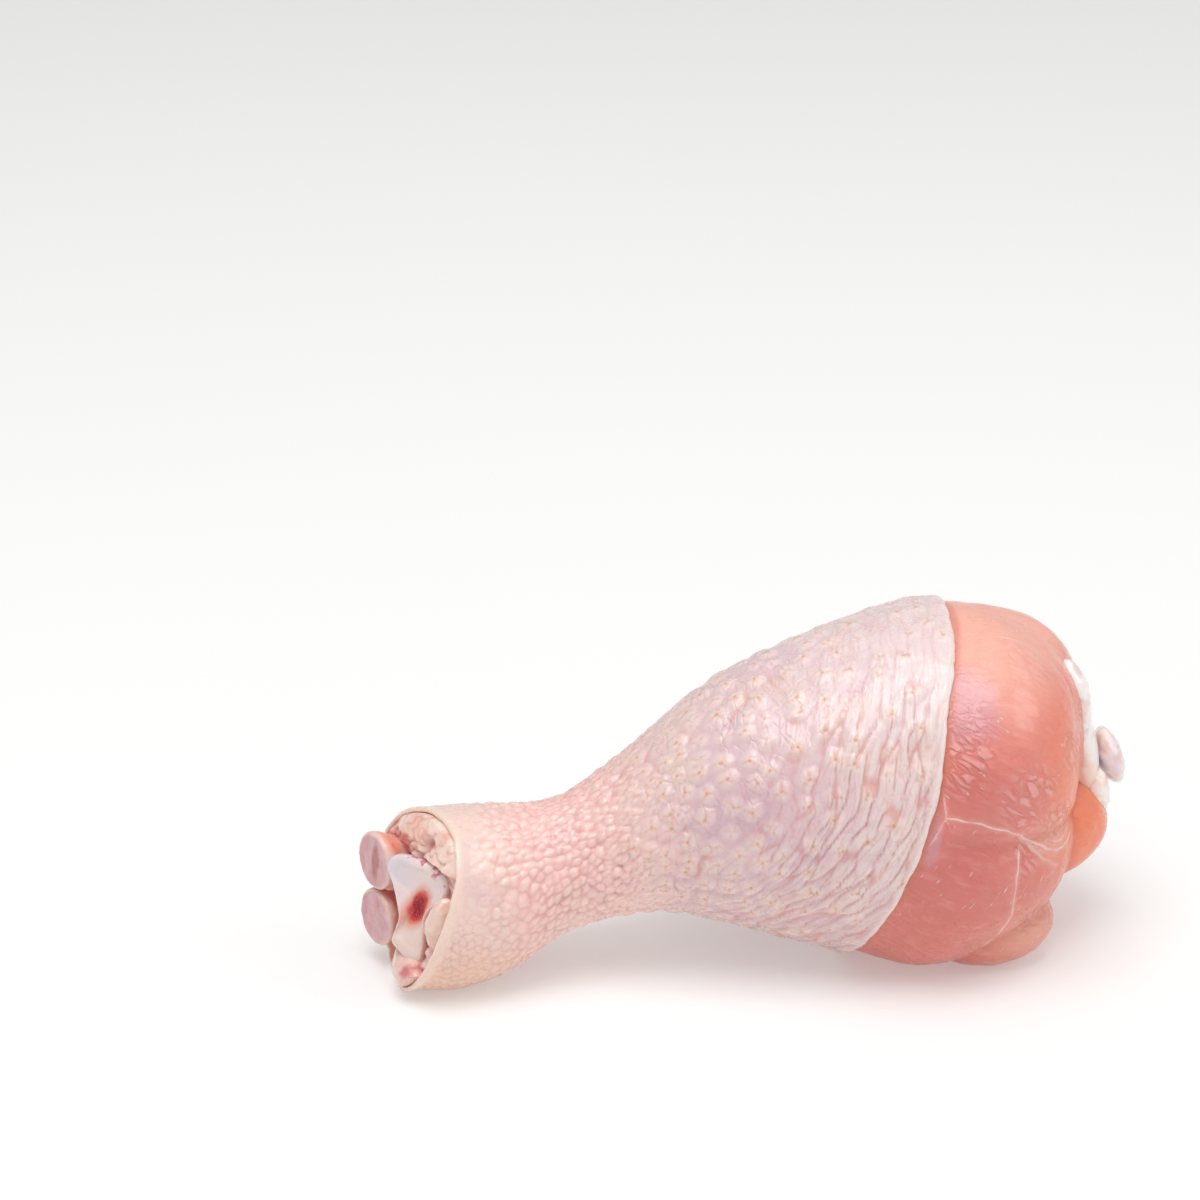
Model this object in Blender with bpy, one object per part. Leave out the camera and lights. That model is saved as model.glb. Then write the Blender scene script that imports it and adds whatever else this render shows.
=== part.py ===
# A raw chicken drumstick lying on its side: a sleeve of skin round the meat, the shin bone
# through it, and the cut tendons, fat and cartilage that show at the hock and at the knee.
# Lengths are in millimetres until mesh_object() writes them in metres.
# +X runs from the hock to the knee, +Z is up, and the leg rests on z = 0. The lengths below are
# measured from the hock, and the origin is then moved to the middle of the footprint.

import math

import bmesh
import bpy
import numpy as np

MM = 0.001
ORIGIN = (62.9, 0.38, 0.0)  # the middle of the leg's footprint, measured from the hock

# The outside of the leg: place along the leg, half height, height of the centre
BODY_STATIONS = (
    (-6.0, 15.0, 15.3),
    (4.0, 15.5, 15.2),
    (12.0, 15.4, 15.2),
    (20.0, 13.5, 16.3),
    (28.0, 11.3, 18.8),
    (36.0, 11.7, 22.2),
    (46.0, 15.4, 26.3),
    (58.0, 21.3, 28.9),
    (70.0, 25.9, 29.4),
    (82.0, 29.8, 29.3),
    (94.0, 31.2, 30.4),
    (104.0, 30.3, 30.0),
    (112.0, 27.0, 30.0),
)
WIDTH_SHARE_HOCK = 1.0  # width over height at the hock, and at the thick end
WIDTH_SHARE_THICK = 0.94
REST_DEPTH = 0.7  # how far the soft leg has sunk flat where it rests

SKIN_THICKNESS = 1.4
GAP = 0.35  # between neighbours that touch
AROUND = 52  # points round the leg
INNER_STEPS = (0.012, 0.06, 0.11, 0.16, 0.22, 0.30, 0.41, 0.56, 0.76, 0.988)  # inside the skin

# The skin's two openings are slanted cuts: where round the leg's middle, then cosine and sine waves
MOUTH_MIDDLE, MOUTH_WAVES = 3.5, ((3.75, 3.1), (0.6, 1.3), (0.2, 0.0))
EDGE_MIDDLE, EDGE_WAVES = 87.3, ((9.4, -3.4), (-0.35, -0.1), (0.05, -0.25), (0.0, 0.0), (0.15, 0.2))

# Follicles are low bumps in staggered rows, and folds run along the thick end's edge
FOLLICLE_HEIGHT = 0.55
FOLLICLE_ZONE = (0.20, 0.74)  # share of the skin's length
FOLD_DEPTH = 0.5
FOLD_ZONE = 0.70

# Muscles of the thick end: centre and half sizes
MUSCLES = {
    "calf": ((92.0, -2.0, 36.5), (29.0, 26.5, 25.3)),
    "shank": ((88.0, -5.0, 21.9), (30.0, 24.0, 22.8)),
    "far_calf": ((93.0, 11.0, 33.0), (28.0, 19.0, 25.0)),
    "far_shank": ((91.0, 9.0, 17.8), (27.0, 19.0, 18.4)),
    "knee_side": ((110.0, -2.0, 20.8), (15.4, 12.5, 10.6)),
    "heel_flap": ((101.5, -12.0, 7.4), (11.8, 9.0, 7.7)),
    "crown": ((104.0, 4.0, 44.0), (16.4, 14.0, 14.0)),
}
FAN_CENTRE = (101.0, 0.0, 30.0)  # where the rays that meet the muscles fan out
MUSCLE_BLEND = 6.0  # length over which the meat swells out of the skin
MUSCLE_MELT = 0.45  # how softly neighbouring muscles run into each other

# The fat that fills the hock: how far its face is set back from the skin's rim, and its depth
HOCK_RECESS, HOCK_FILL = 2.6, 7.0
FAT_LUMP = (2.0, math.radians(5), 0.75)  # height, direction, share of the radius

# Cut tendon stubs: centre of the end face, radius, length
STUB_AIM = (-0.93, -0.26, 0.02)
STUBS = {
    "tendon_stub_upper": ((-1.5, 5.4, 19.4), 5.4, 12.0),
    "tendon_stub_lower": ((-1.7, 5.4, 9.0), 5.1, 11.0),
}

# Soft scraps: centre, half sizes
HOCK_SCRAPS = {
    "hock_pad": ((2.8, -5.6, 4.3), (3.3, 7.2, 3.3)),
    "hock_sinew": ((7.8, -11.5, 14.4), (3.4, 2.2, 5.4)),
}
KNEE_SCRAPS = {
    "knee_cap": ((126.7, 0.5, 30.6), (2.0, 5.2, 4.9)),
    "knee_tendon": ((123.2, -3.4, 26.0), (2.4, 3.0, 4.2)),
    "knee_ligament": ((118.4, -3.0, 43.6), (2.4, 4.2, 6.0)),
}

SHAFT_RADIUS = 4.2
SHAFT_START = (8.6, 0.2, 14.2)
SHAFT_END = (116.0, 3.0, 33.0)

# The hock end of the bone is a spool seen end on: its outline, across and up
CONDYLE_CENTRE = (3.9, -4.6, 16.1)
CONDYLE_AIM = (-0.66, -0.68, 0.32)
CONDYLE_OUTLINE = (
    (-8.4, 2.8),
    (-7.4, 4.5),
    (-6.0, 6.0),
    (-3.6, 7.6),
    (-1.2, 8.4),
    (0.8, 8.5),
    (2.4, 7.7),
    (3.2, 6.1),
    (3.1, 4.2),
    (2.6, 2.3),
    (3.0, 0.2),
    (3.8, -1.6),
    (4.4, -4.4),
    (5.4, -7.4),
    (5.2, -9.2),
    (3.5, -9.4),
    (1.2, -9.0),
    (-1.0, -8.5),
    (-1.4, -6.4),
    (-1.8, -4.2),
    (-3.4, -2.2),
    (-5.8, 0.2),
)
CONDYLE_DEPTH = 8.0

# The knee end of the bone is a slanted oval plate of cartilage
PLATEAU_CENTRE = (120.0, 2.6, 33.2)
PLATEAU_HALF = (4.2, 9.0, 13.0)
PLATEAU_LEAN = math.radians(13)


def curve_through(xs, ys, x):
    """A smooth curve through points: cubic pieces whose slopes come from the neighbours."""
    xs, ys = np.asarray(xs, float), np.asarray(ys, float)
    slopes = np.gradient(ys, xs)
    i = np.clip(np.searchsorted(xs, x) - 1, 0, len(xs) - 2)
    step = xs[i + 1] - xs[i]
    t = (x - xs[i]) / step
    rise = ys[i + 1] - ys[i]
    bend = (t - 1) * slopes[i] * step + t * slopes[i + 1] * step + (1 - 2 * t) * rise
    return ys[i] + t * rise + t * (1 - t) * -bend


def smooth_step(low, high, value):
    """0 below low, 1 above high and an even S between."""
    t = np.clip((value - low) / (high - low), 0.0, 1.0)
    return t * t * (3 - 2 * t)


def leg_section(x):
    """Half width, half height and centre height of the leg at each x."""
    stations = np.array(BODY_STATIONS)
    half_height = curve_through(stations[:, 0], stations[:, 1], x)
    centre = curve_through(stations[:, 0], stations[:, 2], x)
    thick = smooth_step(30.0, 80.0, x)
    share = WIDTH_SHARE_HOCK + (WIDTH_SHARE_THICK - WIDTH_SHARE_HOCK) * thick
    return half_height * share, half_height, centre


def leg_point(x, angle, under=0.0, relief=0.0):
    """A point of the leg, a depth under its outside. Angle 0 is the top, 90 degrees the near side."""
    half_width, half_height, centre = leg_section(x)
    y = -(half_width - under + relief) * np.sin(angle)
    z = centre - REST_DEPTH + (half_height - under + relief) * np.cos(angle)
    return np.stack([x, y, np.maximum(z, under)], axis=-1)


def slanted_cut(angle, middle, waves):
    """Where a cut round the leg lies along X, at each angle."""
    x = middle + 0 * angle
    for number, (cosine, sine) in enumerate(waves, 1):
        x = x + cosine * np.cos(number * angle) + sine * np.sin(number * angle)
    return x


def mouth(angle):
    """Where the skin begins, at the hock."""
    return slanted_cut(angle, MOUTH_MIDDLE, MOUTH_WAVES)


def skin_edge(angle):
    """Where the skin ends, on the thick part."""
    return slanted_cut(angle, EDGE_MIDDLE, EDGE_WAVES)


def unit(vector):
    vector = np.asarray(vector, float)
    return vector / np.linalg.norm(vector)


def facing_axes(aim):
    """Unit vectors out of a face, across it towards the near side, and up it."""
    out = unit(aim)
    near = np.array([0.0, -1.0, 0.0])
    across = unit(near - near @ out * out)
    up = np.cross(across, out)
    return out, across, up * math.copysign(1.0, up[2])


def new_material(name, colour, roughness):
    material = bpy.data.materials.new(name)
    material.use_nodes = True
    shader = material.node_tree.nodes["Principled BSDF"]
    shader.inputs["Base Color"].default_value = (*colour, 1.0)
    shader.inputs["Roughness"].default_value = roughness
    shader.inputs["Metallic"].default_value = 0.0
    material.diffuse_color = (*colour, 1.0)
    return material


def mesh_object(name, rings, material, closed=False):
    """An object from rings of points. A ring of one point is a pole; closed joins the last ring to the first."""
    mesh = bpy.data.meshes.new(name)
    shape = bmesh.new()
    loops = [[shape.verts.new((point - ORIGIN) * MM) for point in ring] for ring in rings]
    pairs = list(zip(loops, loops[1:]))
    if closed:
        pairs.append((loops[-1], loops[0]))
    for first, second in pairs:
        count = max(len(first), len(second))
        for i in range(count):
            j = (i + 1) % count
            if len(first) == 1:
                shape.faces.new((first[0], second[j], second[i]))
            elif len(second) == 1:
                shape.faces.new((first[i], first[j], second[0]))
            else:
                shape.faces.new((first[i], first[j], second[j], second[i]))
    bmesh.ops.recalc_face_normals(shape, faces=shape.faces)
    shape.to_mesh(mesh)
    shape.free()
    mesh.shade_smooth()
    obj = bpy.data.objects.new(name, mesh)
    obj.data.materials.append(material)
    bpy.context.scene.collection.objects.link(obj)
    return obj


def ring_angles(count=AROUND):
    return np.arange(count) / count * 2 * math.pi


def skin_relief(share, from_edge, angle, ring):
    """Height of the follicle bumps and of the folds on the skin's outside."""
    index = np.arange(len(angle))
    stagger = 2 if ring % 4 == 1 else 0
    on_row = (index % 4 == stagger) & (ring % 2 == 1)
    bumps = FOLLICLE_HEIGHT * on_row * (FOLLICLE_ZONE[0] < share < FOLLICLE_ZONE[1])
    wander = 1.1 * np.sin(2 * angle + 0.5) + 0.8 * np.sin(5 * angle + 1.7)
    strength = smooth_step(24.0, 10.0, from_edge) * smooth_step(0.0, 2.5, from_edge)
    folds = FOLD_DEPTH * strength * np.sin((from_edge + wander) * 2 * math.pi / 4.4)
    return bumps + folds


def make_skin(material):
    """The sleeve: outside, rolled edge, inside and rolled mouth, in one closed loop of rings."""
    angle = ring_angles()
    start, end = mouth(angle), skin_edge(angle)
    length = end - start
    half = SKIN_THICKNESS / 2
    shares = np.concatenate([np.linspace(0.012, FOLD_ZONE, 25)[:-1], np.linspace(FOLD_ZONE, 0.99, 17)])
    rings = []
    for number, share in enumerate(shares):
        x = start + length * share
        relief = skin_relief(share, end - x, angle, number)
        rings.append(leg_point(x, angle, relief=relief))
    rings.append(leg_point(end, angle, half * 0.6))
    rings.append(leg_point(end, angle, half * 1.4))
    for share in INNER_STEPS[::-1]:
        rings.append(leg_point(start + length * share, angle, SKIN_THICKNESS))
    rings.append(leg_point(start, angle, half * 1.4))
    rings.append(leg_point(start, angle, half * 0.6))
    return mesh_object("skin", rings, material, closed=True)


def muscle_reach(origin, direction):
    """How far a ray from inside goes before it leaves the last muscle."""
    reaches = []
    for centre, half in MUSCLES.values():
        from_centre = (origin - np.array(centre)) / half
        along = direction / half
        a = (along**2).sum(-1)
        b = (along * from_centre).sum(-1)
        c = (from_centre**2).sum(-1) - 1
        inside = b * b - a * c
        far = (-b + np.sqrt(np.maximum(inside, 0))) / a
        reaches.append(np.where(inside > 0, far, 0.0))
    reaches = np.array(reaches)
    furthest = reaches.max(axis=0)
    return furthest + MUSCLE_MELT * np.log(np.exp((reaches - furthest) / MUSCLE_MELT).sum(axis=0))


def across_the_mouth(angle, setback, shares):
    """Rings across the opening at the hock, set back from the skin's rim, from the middle outwards."""
    under = SKIN_THICKNESS + GAP
    rim = leg_point(mouth(angle) + setback, angle, under)
    middle = rim.mean(axis=0)
    return [np.array([middle])] + [middle + (rim - middle) * share for share in shares]


def fat_rings():
    """The fat behind the hock's opening: a thick plug with a lump that rises at the top."""
    angle = ring_angles()
    shares = (0.25, 0.5, 0.75, 0.92, 1.0)
    front = across_the_mouth(angle, HOCK_RECESS, shares)
    height, turn, reach = FAT_LUMP
    for share, ring in zip(shares, front[1:]):
        ring[:, 0] -= height * np.exp(-((np.sin((angle - turn) / 2) / 0.42) ** 2) - ((share - reach) / 0.3) ** 2)
    middle = leg_point(mouth(angle) + HOCK_RECESS + HOCK_FILL / 2, angle, SKIN_THICKNESS + GAP)
    back = across_the_mouth(angle, HOCK_RECESS + HOCK_FILL, shares[1::2] + (1.0,))
    return front + [middle] + back[::-1]


def meat_rings():
    angle = ring_angles()
    under = SKIN_THICKNESS + GAP
    setback = HOCK_RECESS + HOCK_FILL + GAP
    start, end = mouth(angle) + setback, skin_edge(angle)
    rings = across_the_mouth(angle, setback, (0.5, 0.92))
    whole = end - mouth(angle)
    rings.append(leg_point(start, angle, under))
    for share in INNER_STEPS[4:]:
        rings.append(leg_point(mouth(angle) + whole * share, angle, under))
    sideways = np.stack([np.zeros_like(angle), -np.sin(angle), np.cos(angle)], axis=-1)
    for share in np.linspace(0.12, 1.0, 8):
        x = end + (FAN_CENTRE[0] - end) * share
        under_skin = leg_point(x, angle, under)
        origin = np.stack([x, np.zeros_like(x), np.full_like(x, FAN_CENTRE[2])], axis=-1)
        bare = origin + sideways * muscle_reach(origin, sideways)[:, None]
        swell = smooth_step(0.2, MUSCLE_BLEND, x - end)[:, None]
        rings.append(under_skin + (bare - under_skin) * swell)
    origin = np.broadcast_to(np.array(FAN_CENTRE), (len(angle), 3))
    for turn in np.radians(np.linspace(80, 8, 11)):
        ray = sideways * math.sin(turn) + np.array([1.0, 0, 0]) * math.cos(turn)
        whole = origin + ray * muscle_reach(origin, ray)[:, None]
        under_skin = leg_point(FAN_CENTRE[0] + 0 * angle, angle, under)
        swell = smooth_step(0.2, MUSCLE_BLEND, FAN_CENTRE[0] - end + 14 * math.cos(turn))[:, None]
        squeezed = under_skin + (whole - under_skin) * swell
        rings.append(squeezed)
    tip = np.array([[1.0, 0, 0]])
    rings.append(np.array([FAN_CENTRE]) + tip * muscle_reach(np.array([FAN_CENTRE]), tip)[:, None])
    for ring in rings:
        ring[:, 2] = np.maximum(ring[:, 2], 0.0)
    return rings


def ellipsoid_rings(centre, half, grow=0.0, around=16, along=8):
    """Rings of an egg shape with its poles along X."""
    angle = ring_angles(around)
    centre, half = np.array(centre), np.array(half) + grow
    rings = []
    for turn in np.linspace(0, math.pi, along + 1):
        count = 1 if turn in (0, math.pi) else around
        a = angle[:count]
        unit_ring = np.stack(
            [-math.cos(turn) + 0 * a, -np.sin(a) * math.sin(turn), np.cos(a) * math.sin(turn)], axis=-1
        )
        rings.append(centre + unit_ring * half)
    return rings


def stub_rings(face, radius, length, grow=0.0, around=22):
    """Rings of a tendon stub: a domed end face, a rounded rim and a body that runs into the leg."""
    out, across, up = facing_axes(STUB_AIM)
    angle = ring_angles(around)
    circle = np.cos(angle)[:, None] * up + np.sin(angle)[:, None] * across
    profile = ((0.55, 0.3), (0.85, 0.05), (0.97, -0.5), (1.0, -1.3), (0.94, -3.2), (0.6, -5.4), (0.45, -length + 0.6))
    rings = [np.array([np.array(face) + out * (0.4 + grow)])]
    for share, depth in profile:
        shift = grow if depth > -1.0 else 0.0
        rings.append(np.array(face) + out * (depth + shift) + circle * (radius * share + grow))
    rings.append(np.array([np.array(face) - out * (length + grow)]))
    return rings


def condyle_rings(grow=0.0):
    """Rings of the spool: its face is a shallow dish, and it narrows into the shaft."""
    out, across, up = facing_axes(CONDYLE_AIM)
    outline = np.array(CONDYLE_OUTLINE)
    outline = outline + outline / np.linalg.norm(outline, axis=1)[:, None] * grow
    centre = np.array(CONDYLE_CENTRE)
    rings = [np.array([centre + out * (grow - 1.4)])]
    profile = ((0.4, -1.2), (0.7, -0.5), (0.89, 0.0), (0.98, -0.4), (1.0, -1.1), (0.95, -4.0), (0.6, -CONDYLE_DEPTH))
    for share, depth in profile:
        shift = depth + (grow if depth > -1.5 else 0.0)
        flat = outline * share
        rings.append(centre + flat[:, :1] * across + flat[:, 1:] * up + shift * out)
    rings.append(np.array([centre - out * (CONDYLE_DEPTH + 1.5 + grow)]))
    return rings


def plateau_rings(grow=0.0):
    """Rings of the oval plate at the knee, leaning so that its lower end reaches further out."""
    rings = ellipsoid_rings((0, 0, 0), PLATEAU_HALF, grow, around=24, along=8)
    cos, sin = math.cos(PLATEAU_LEAN), math.sin(PLATEAU_LEAN)
    turned = []
    for ring in rings:
        x, y, z = ring[:, 0], ring[:, 1], ring[:, 2]
        turned.append(np.stack([x * cos - z * sin, y, x * sin + z * cos], axis=-1) + PLATEAU_CENTRE)
    return turned


def shaft_rings(grow=0.0, around=16):
    start, end = np.array(SHAFT_START), np.array(SHAFT_END)
    along = unit(end - start)
    side = unit(np.cross(along, (0, 0, 1)))
    up = np.cross(side, along)
    angle = ring_angles(around)
    rings = [start[None]]
    for share in (0.0, 0.12, 0.5, 0.88, 1.0):
        flare = 1.0 + 0.6 * share**4
        radius = SHAFT_RADIUS * flare + grow
        circle = np.cos(angle)[:, None] * up + np.sin(angle)[:, None] * side
        rings.append(start + (end - start) * share + circle * radius)
    rings.append(end[None])
    return rings


def inner_space_rings():
    """The space inside the skin at the hock, from well outside its mouth to the narrow neck."""
    angle = ring_angles()
    rings = [leg_point(x + 0 * angle, angle, SKIN_THICKNESS + GAP) for x in np.linspace(-5.9, 30.0, 13)]
    for ring in rings:
        ring[:, 2] = np.maximum(ring[:, 2], SKIN_THICKNESS + GAP)
    return [rings[0].mean(axis=0)[None] - (0.1, 0, 0)] + rings + [rings[-1].mean(axis=0)[None] + (0.1, 0, 0)]


def join_all(target, helpers, operation):
    """Applies one Boolean with each helper object in turn, then removes the helpers."""
    for helper in helpers:
        cut = target.modifiers.new(helper.name, "BOOLEAN")
        cut.operation = operation
        cut.object = helper
        cut.solver = "EXACT"
    bpy.context.view_layer.update()
    graph = bpy.context.evaluated_depsgraph_get()
    joined = bpy.data.meshes.new_from_object(target.evaluated_get(graph))
    target.modifiers.clear()
    target.data = joined
    for helper in helpers:
        bpy.data.objects.remove(helper)
    keep_largest(target)


def keep_largest(obj):
    """Removes the crumbs a cut leaves loose, so that the object is one piece."""
    shape = bmesh.new()
    shape.from_mesh(obj.data)
    waiting = set(shape.verts)
    groups = []
    while waiting:
        seed = waiting.pop()
        group, edge = {seed}, [seed]
        while edge:
            for link in edge.pop().link_edges:
                for vert in link.verts:
                    if vert in waiting:
                        waiting.discard(vert)
                        group.add(vert)
                        edge.append(vert)
        groups.append(group)
    groups.sort(key=len)
    for group in groups[:-1]:
        bmesh.ops.delete(shape, geom=list(group), context="VERTS")
    shape.to_mesh(obj.data)
    shape.free()


def pocket(name, rings, material):
    return mesh_object(name + "_pocket", rings, material)


def bone_shape(name, grow, material):
    """The shin bone: a shaft through the meat with the spool at the hock and the plate at the knee."""
    bone = mesh_object(name, shaft_rings(grow), material)
    ends = [
        mesh_object(name + "_condyle", condyle_rings(grow), material),
        mesh_object(name + "_plateau", plateau_rings(grow), material),
    ]
    join_all(bone, ends, "UNION")
    return bone


def fit_between(piece, neighbours, material, inside_skin):
    """Cuts a soft piece back where the bone and earlier pieces are, and where the skin is."""
    cutters = [bone_shape("bone_pocket", GAP, material)]
    cutters += [pocket(name, rings, material) for name, rings in neighbours]
    join_all(piece, cutters, "DIFFERENCE")
    if inside_skin:
        join_all(piece, [mesh_object("inner_space", inner_space_rings(), material)], "INTERSECT")


def main():
    for obj in list(bpy.data.objects):
        bpy.data.objects.remove(obj)
    skin_finish = new_material("skin", (0.80, 0.58, 0.53), 0.35)
    meat_finish = new_material("meat", (0.72, 0.30, 0.25), 0.25)
    bone_finish = new_material("bone", (0.74, 0.68, 0.70), 0.25)
    tendon_finish = new_material("tendon", (0.62, 0.47, 0.50), 0.3)
    fat_finish = new_material("fat", (0.85, 0.64, 0.50), 0.4)
    make = {}
    grown = {}
    for name, sizes in STUBS.items():
        make[name] = (stub_rings(*sizes), tendon_finish)
        grown[name] = stub_rings(*sizes, grow=GAP)
    for name, sizes in HOCK_SCRAPS.items():
        make[name] = (ellipsoid_rings(*sizes), tendon_finish)
        grown[name] = ellipsoid_rings(*sizes, grow=GAP)
    for name, sizes in KNEE_SCRAPS.items():
        make[name] = (ellipsoid_rings(*sizes), bone_finish)
        grown[name] = ellipsoid_rings(*sizes, grow=GAP)
    make["hock_fat"] = (fat_rings(), fat_finish)
    make["meat"] = (meat_rings(), meat_finish)
    make_skin(skin_finish)
    bone_shape("shin_bone", 0.0, bone_finish)
    done = []
    for name, (rings, finish) in make.items():
        piece = mesh_object(name, rings, finish)
        inside = name in STUBS or name in HOCK_SCRAPS
        fit_between(piece, done, finish, inside)
        if name in grown:
            done.append((name, grown[name]))


main()
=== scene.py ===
# A raw chicken drumstick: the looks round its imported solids.
# Lengths are in millimetres measured from the hock, until placePoints() writes them in metres.

import math

import bpy
import numpy as np
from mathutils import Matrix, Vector


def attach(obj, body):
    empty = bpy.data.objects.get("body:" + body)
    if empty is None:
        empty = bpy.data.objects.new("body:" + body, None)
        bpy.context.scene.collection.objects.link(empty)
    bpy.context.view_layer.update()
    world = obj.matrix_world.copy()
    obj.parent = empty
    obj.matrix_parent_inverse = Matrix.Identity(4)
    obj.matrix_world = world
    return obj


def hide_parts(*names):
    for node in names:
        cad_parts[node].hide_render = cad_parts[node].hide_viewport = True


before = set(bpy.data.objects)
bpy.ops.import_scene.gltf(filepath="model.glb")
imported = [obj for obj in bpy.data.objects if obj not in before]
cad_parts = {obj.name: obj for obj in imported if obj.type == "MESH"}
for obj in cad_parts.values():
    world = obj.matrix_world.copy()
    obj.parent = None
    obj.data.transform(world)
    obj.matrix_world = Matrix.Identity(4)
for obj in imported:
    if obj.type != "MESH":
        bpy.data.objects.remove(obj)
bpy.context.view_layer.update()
bpy.ops.object.select_all(action="DESELECT")

millimetre = 0.001
perMetre = 1000
mergeDistance = 0.000004
footprintMiddle = np.array((62.9, 0.38, 0.0))

legValues = {
    # place along the leg, half height, height of the centre
    "stations": (
        (-6.0, 15.0, 15.3), (4.0, 15.5, 15.2), (12.0, 15.4, 15.2), (20.0, 13.5, 16.3),
        (28.0, 11.3, 18.8), (36.0, 11.7, 22.2), (46.0, 15.4, 26.3), (58.0, 21.3, 28.9),
        (70.0, 25.9, 29.4), (82.0, 29.8, 29.3), (94.0, 31.2, 30.4), (104.0, 30.3, 30.0),
        (112.0, 27.0, 30.0),
    ),
    "widthAtThickEnd": 0.94,
    "narrows": (30.0, 80.0),
    "restDepth": 0.7,
    "skinThickness": 1.4,
    "gap": 0.35,
    # the two slanted cuts of the skin: where round the leg's middle, then cosine and sine waves
    "mouthMiddle": 3.5,
    "mouthWaves": ((3.75, 3.1), (0.6, 1.3), (0.2, 0.0)),
    "edgeMiddle": 87.3,
    "edgeWaves": ((9.4, -3.4), (-0.35, -0.1), (0.05, -0.25), (0.0, 0.0), (0.15, 0.2)),
}


# Curves and noise

def curveThrough(xs, ys, x):
    xs, ys = np.asarray(xs, float), np.asarray(ys, float)
    slopes = np.gradient(ys, xs)
    i = np.clip(np.searchsorted(xs, x) - 1, 0, len(xs) - 2)
    step = xs[i + 1] - xs[i]
    t = (x - xs[i]) / step
    rise = ys[i + 1] - ys[i]
    bend = (t - 1) * slopes[i] * step + t * slopes[i + 1] * step + (1 - 2 * t) * rise
    return ys[i] + t * rise + t * (1 - t) * -bend


def smoothStep(low, high, value):
    t = np.clip((value - low) / (high - low), 0.0, 1.0)
    return t * t * (3 - 2 * t)


def bell(value, width):
    # 1 in the middle, and evenly less to both sides
    return np.exp(-((value / width) ** 2))


def hump(distance, reach):
    # a dome, 1 in its middle and 0 from its reach on
    return np.clip(1 - (distance / reach) ** 2, 0, 1)


def scatter(i, j, k, seed):
    # an even random number from 0 to 1 for each whole-number place
    i, j, k = (np.asarray(v).astype(np.int64) for v in (i, j, k))
    mixed = (i * 73856093) ^ (j * 19349663) ^ (k * 83492791) ^ (seed * 2654435761)
    mixed = mixed & 0xFFFFFFFF
    mixed = mixed ^ (mixed >> 13)
    mixed = (mixed * 1274126177) & 0xFFFFFFFF
    mixed = mixed ^ (mixed >> 16)
    return mixed / 2.0**32


def softNoise(points, size, seed):
    # smooth noise from -1 to 1, with lumps of about this size
    place = points / np.asarray(size, float)
    base = np.floor(place)
    part = place - base
    part = part * part * part * (part * (part * 6 - 15) + 10)
    total = np.zeros(len(points))
    for a in (0, 1):
        for b in (0, 1):
            for c in (0, 1):
                weight = (
                    np.where(a, part[:, 0], 1 - part[:, 0])
                    * np.where(b, part[:, 1], 1 - part[:, 1])
                    * np.where(c, part[:, 2], 1 - part[:, 2])
                )
                total += weight * scatter(base[:, 0] + a, base[:, 1] + b, base[:, 2] + c, seed)
    return total * 2 - 1


def layeredNoise(points, size, seed, layers=3):
    total, strength, whole = 0.0, 1.0, 0.0
    for layer in range(layers):
        total = total + strength * softNoise(points, np.asarray(size) / 2.03**layer, seed + layer)
        whole += strength
        strength *= 0.5
    return total / whole


# rows of staggered cells lie this many widths apart
staggeredRow = 0.87


def cellsRound(u, v, columns, jitter, seed, rowHeight=staggeredRow):
    # staggered, jittered cells on a sleeve this many cells round: the nearest and second distance,
    # the offset from the nearest middle, and a random number that belongs to it
    near = np.full(u.shape, 9.0)
    second = near.copy()
    offU, offV, mark = np.zeros(u.shape), np.zeros(u.shape), np.zeros(u.shape)
    row = np.floor(v)
    for stepRow in (-1, 0, 1):
        r = row + stepRow
        shift = 0.5 * np.mod(r, 2)
        column = np.floor(u - shift)
        for stepColumn in (-1, 0, 1):
            c = column + stepColumn
            wrapped = np.mod(c, columns)
            middleU = c + shift + 0.5 + jitter * (2 * scatter(wrapped, r, 1, seed) - 1)
            middleV = r + 0.5 + jitter * (2 * scatter(wrapped, r, 2, seed) - 1)
            du, dv = u - middleU, (v - middleV) * rowHeight
            distance = np.hypot(du, dv)
            closer = distance < near
            second = np.where(closer, near, np.minimum(second, distance))
            near = np.where(closer, distance, near)
            offU, offV = np.where(closer, du, offU), np.where(closer, dv, offV)
            mark = np.where(closer, scatter(wrapped, r, 3, seed), mark)
    return near, second, offU, offV, mark


# The leg's outside

def legSection(x):
    stations = np.array(legValues["stations"])
    halfHeight = curveThrough(stations[:, 0], stations[:, 1], x)
    centre = curveThrough(stations[:, 0], stations[:, 2], x)
    narrowed = smoothStep(*legValues["narrows"], x)
    share = 1.0 + (legValues["widthAtThickEnd"] - 1.0) * narrowed
    return halfHeight * share, halfHeight, centre


def legPoint(x, angle, under=0.0, relief=0.0):
    # angle 0 is the top and 90 degrees the near side
    halfWidth, halfHeight, centre = legSection(x)
    y = -(halfWidth - under + relief) * np.sin(angle)
    z = centre - legValues["restDepth"] + (halfHeight - under + relief) * np.cos(angle)
    return np.stack([x + 0 * y, y, np.maximum(z, under)], axis=-1)


def slantedCut(angle, middle, waves):
    x = middle + 0 * angle
    for number, (cosine, sine) in enumerate(waves, 1):
        x = x + cosine * np.cos(number * angle) + sine * np.sin(number * angle)
    return x


def mouthAt(angle):
    return slantedCut(angle, legValues["mouthMiddle"], legValues["mouthWaves"])


def skinEdgeAt(angle):
    return slantedCut(angle, legValues["edgeMiddle"], legValues["edgeWaves"])


def unit(vector):
    vector = np.asarray(vector, float)
    return vector / np.linalg.norm(vector)


def facingAxes(aim):
    out = unit(aim)
    near = np.array([0.0, -1.0, 0.0])
    across = unit(near - near @ out * out)
    up = np.cross(across, out)
    return out, across, up * math.copysign(1.0, up[2])


# Meshes

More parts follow.
